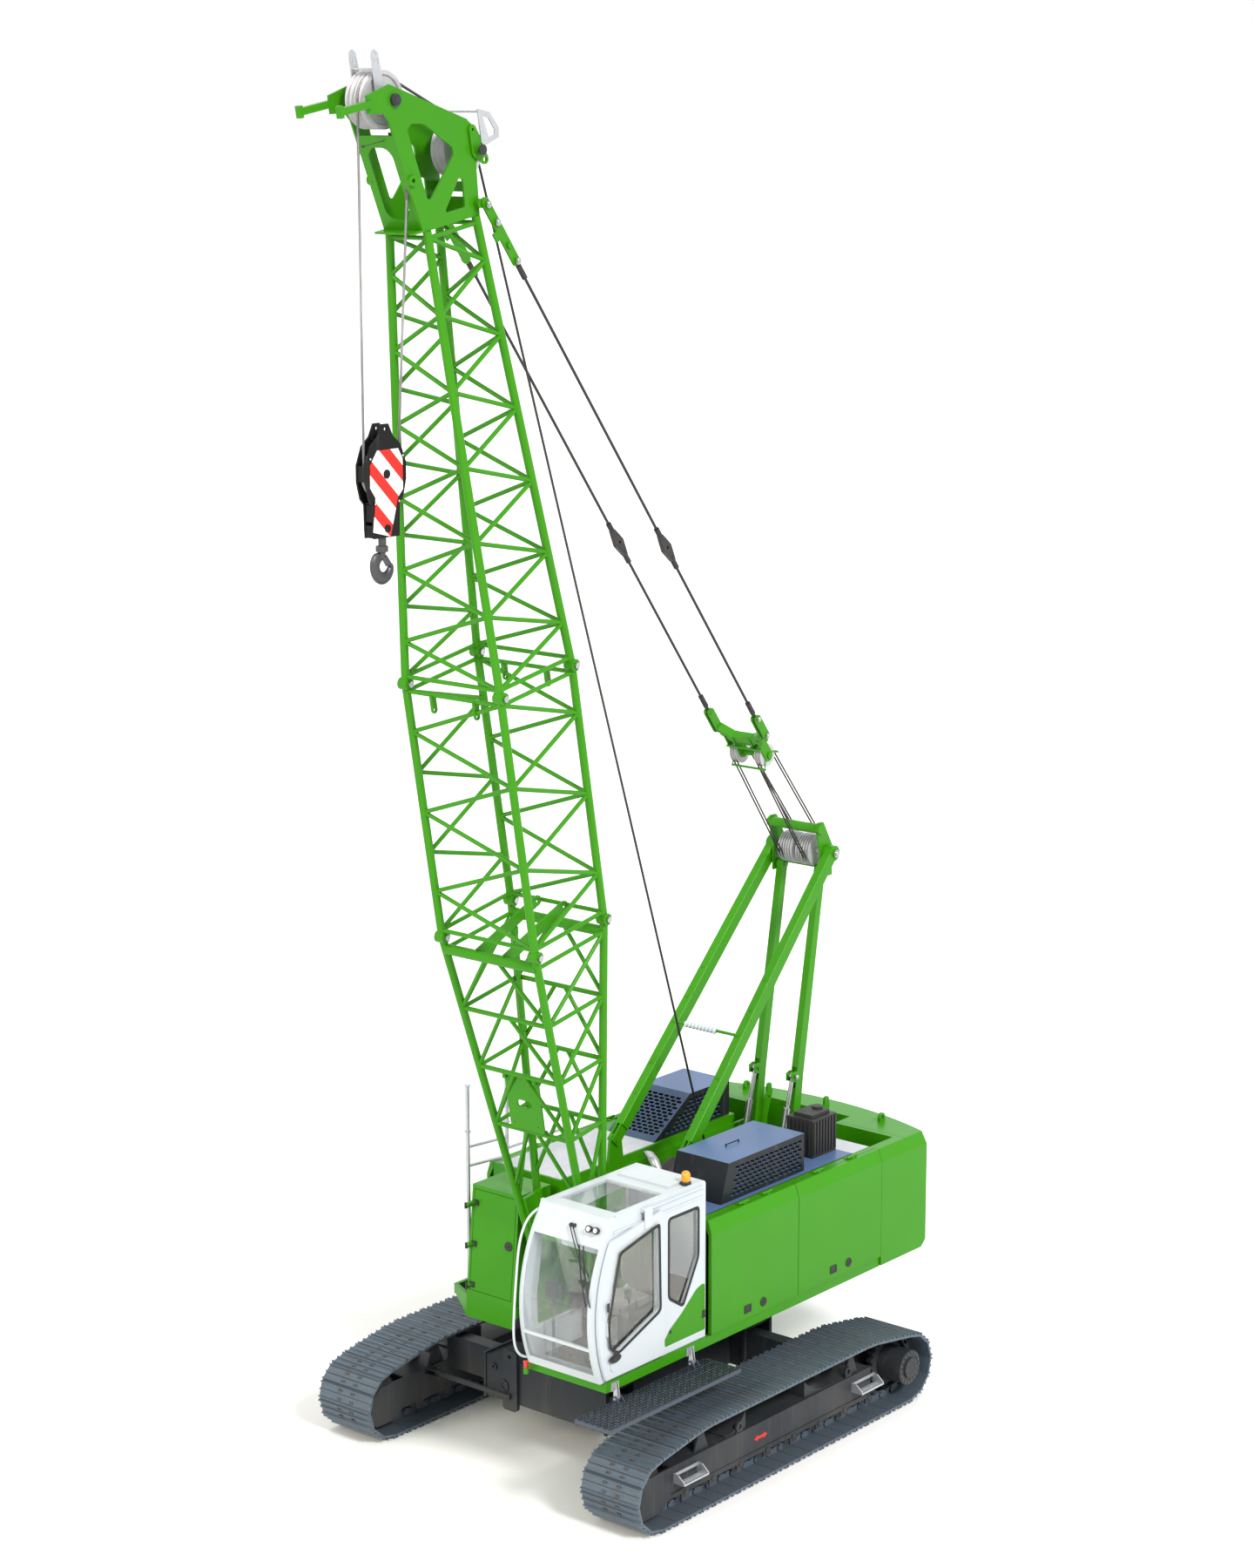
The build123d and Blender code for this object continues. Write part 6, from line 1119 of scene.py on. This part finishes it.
spacer = (-0.31 - 0.36 * 2.54, 0.0, 2.745 + 0.36 * 2.645 + 0.09)
guard = lathes([spacer], (0, 1, 0), np.stack([coil, h], 1), 24)
mesh_object("gantry_rope_guard", *guard, MAT["white"], "upper", smooth=True)
print("coil turns:", COIL_TURNS)

# %% [markdown]
# ## Axle caps and hinge sleeves
# The axles of the head's sheaves end in dark stepped caps. The locker's hinges turn on sleeves: the lower half of
# each belongs to the locker and the upper half to its door, with a small gap between them.

# %% Axle caps and hinge sleeves
AXLE_CAP = [(0.0525, -0.0385), (0.0525, 0.004), (0.040, 0.007), (0.032, 0.007), (0.032, 0.012), (0.003, 0.013)]
low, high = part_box("head_sheaves")
front_caps = [lathes([(3.39337, end, HEAD[1])], (0, side, 0), AXLE_CAP, 24)
              for side, end in ((-1, low[1]), (1, high[1]))]
rear_caps = [lathes([(2.36358, side * 0.3203, 12.6798)], (0, side, 0), np.asarray(AXLE_CAP) * (0.9, 0.3), 24)
             for side in (-1, 1)]
mesh_object("head_axle_caps", *join(*front_caps), MAT["dark"], "head_sheave_pack")
mesh_object("rear_axle_caps", *join(*rear_caps), MAT["dark"], "boom")
knuckle = np.array([(1.214, -1.118, z) for z in HINGE_Z])
lower, upper = (rods(knuckle + (0, 0, a), knuckle + (0, 0, b), 0.0129, 16)
                for a, b in ((-0.0152, 0.0148), (0.0155, 0.0447)))
mesh_object("locker_hinge_sleeves", *lower, MAT["plastic"], "upper")
mesh_object("locker_door_sleeves", *upper, MAT["plastic"], "locker_door_body")
print("head axle ends at", round(low[1], 4), round(high[1], 4))

# %% [markdown]
# ## Cab lining
# The inside of a cab is lined with brown moulded panels over its steel, and a rubber mat covers its floor. Both
# show through the glass, so thin plates stand a few millimetres off the walls, up to the windows.

# %% Cab lining
low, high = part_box("cab_shell")
WALL, OFF_WALL, LINER_THICK = 0.040, 0.0045, 0.008
lining = boxes([(1.30, low[1] + WALL + OFF_WALL, 1.475), (low[0] + WALL + OFF_WALL, 0.9725, 1.60)],
               [(1.36, LINER_THICK, 0.37), (LINER_THICK, 0.79, 0.62)])
mat = boxes([(1.30, 0.9725, low[2] + WALL + OFF_WALL)], [(1.34, 0.78, LINER_THICK)])
mesh_object("cab_lining", *lining, MAT["liner"], "upper")
mesh_object("cab_floor_mat", *mat, MAT["rubber"], "upper")
print("cab box", [round(v, 3) for v in low], [round(v, 3) for v in high])

# %% [markdown]
# ## Camera
# The view is from the front left and above, through a long lens. The camera's turning matrix is built from the
# direction it looks in, with a very small roll about it.

# %% Camera
from mathutils import Matrix, Vector

look = Vector((-0.7512, -0.6258, -0.2098)).normalized()
side = look.cross(Vector((0, 0, 1))).normalized()
above = side.cross(look)
roll = Matrix.Rotation(0.0021, 3, look)
side, above = roll @ side, roll @ above
camera_data = bpy.data.cameras.new("camera")
camera_data.sensor_fit = "VERTICAL"
camera_data.sensor_height = 36
camera_data.lens = 75.58
camera_data.clip_end = 1500
camera = bpy.data.objects.new("camera", camera_data)
bpy.context.scene.collection.objects.link(camera)
camera.matrix_world = Matrix(((side.x, above.x, -look.x, 24.177), (side.y, above.y, -look.y, 20.120),
                              (side.z, above.z, -look.z, 13.296), (0, 0, 0, 1)))
bpy.context.scene.camera = camera
print("camera at", [round(v, 2) for v in camera.location])

# %% [markdown]
# ## Light
# Three broad distant lights and a pale sky light the machine and the whole floor evenly, as a studio's wide banks
# do, so the plain pale floor shows only a soft shadow. The fill is warm, the key nearly white.

# %% Light
def soft_sun(name, direction, strength, spread, colour):
    """A broad distant light, even over the whole floor: it shines along direction, spread degrees wide."""
    data = bpy.data.lights.new(name, "SUN")
    data.energy = strength
    data.angle = math.radians(spread)
    data.color = colour
    obj = bpy.data.objects.new(name, data)
    bpy.context.scene.collection.objects.link(obj)
    obj.rotation_euler = Vector(direction).to_track_quat("-Z", "Y").to_euler()


soft_sun("key", (-6, -26, -22), 2.7, 12, (1.0, 0.98, 0.95))
soft_sun("fill", (-26, 4, -14), 1.5, 24, (1.0, 0.95, 0.74))
soft_sun("back", (20, 10, -18), 0.4, 40, (1.0, 1.0, 1.0))
world = bpy.data.worlds.new("sky")
world.use_nodes = True
world.node_tree.nodes["Background"].inputs[0].default_value = (1.0, 1.0, 1.0, 1)
world.node_tree.nodes["Background"].inputs[1].default_value = 1.0
bpy.context.scene.world = world
bpy.context.scene.view_settings.view_transform = "Standard"
print("lights: 3 and the sky")

# %% [markdown]
# ## Floor
# The floor is a very large pale plane, faintly mottled, that reaches past every view, so it shows no edge.

# %% Floor
FLOOR_HALF = 400
floor_material = bpy.data.materials.new("floor_paint")
floor_material.use_nodes = True
tree = floor_material.node_tree
speckle = noise(tree, own_place(tree), 3.0, 2.0)
shade = blend_colour(tree, speckle, (0.80, 0.80, 0.80, 1), (0.83, 0.83, 0.825, 1))
tree.links.new(shade, tree.nodes["Principled BSDF"].inputs["Base Color"])
tree.nodes["Principled BSDF"].inputs["Roughness"].default_value = 0.85
corners = [(x * FLOOR_HALF, y * FLOOR_HALF, 0) for x, y in ((-1, -1), (1, -1), (1, 1), (-1, 1))]
floor = mesh_object("floor", corners, [np.array([[0, 1, 2, 3]])], floor_material, None)
print("floor:", 2 * FLOOR_HALF, "m wide")
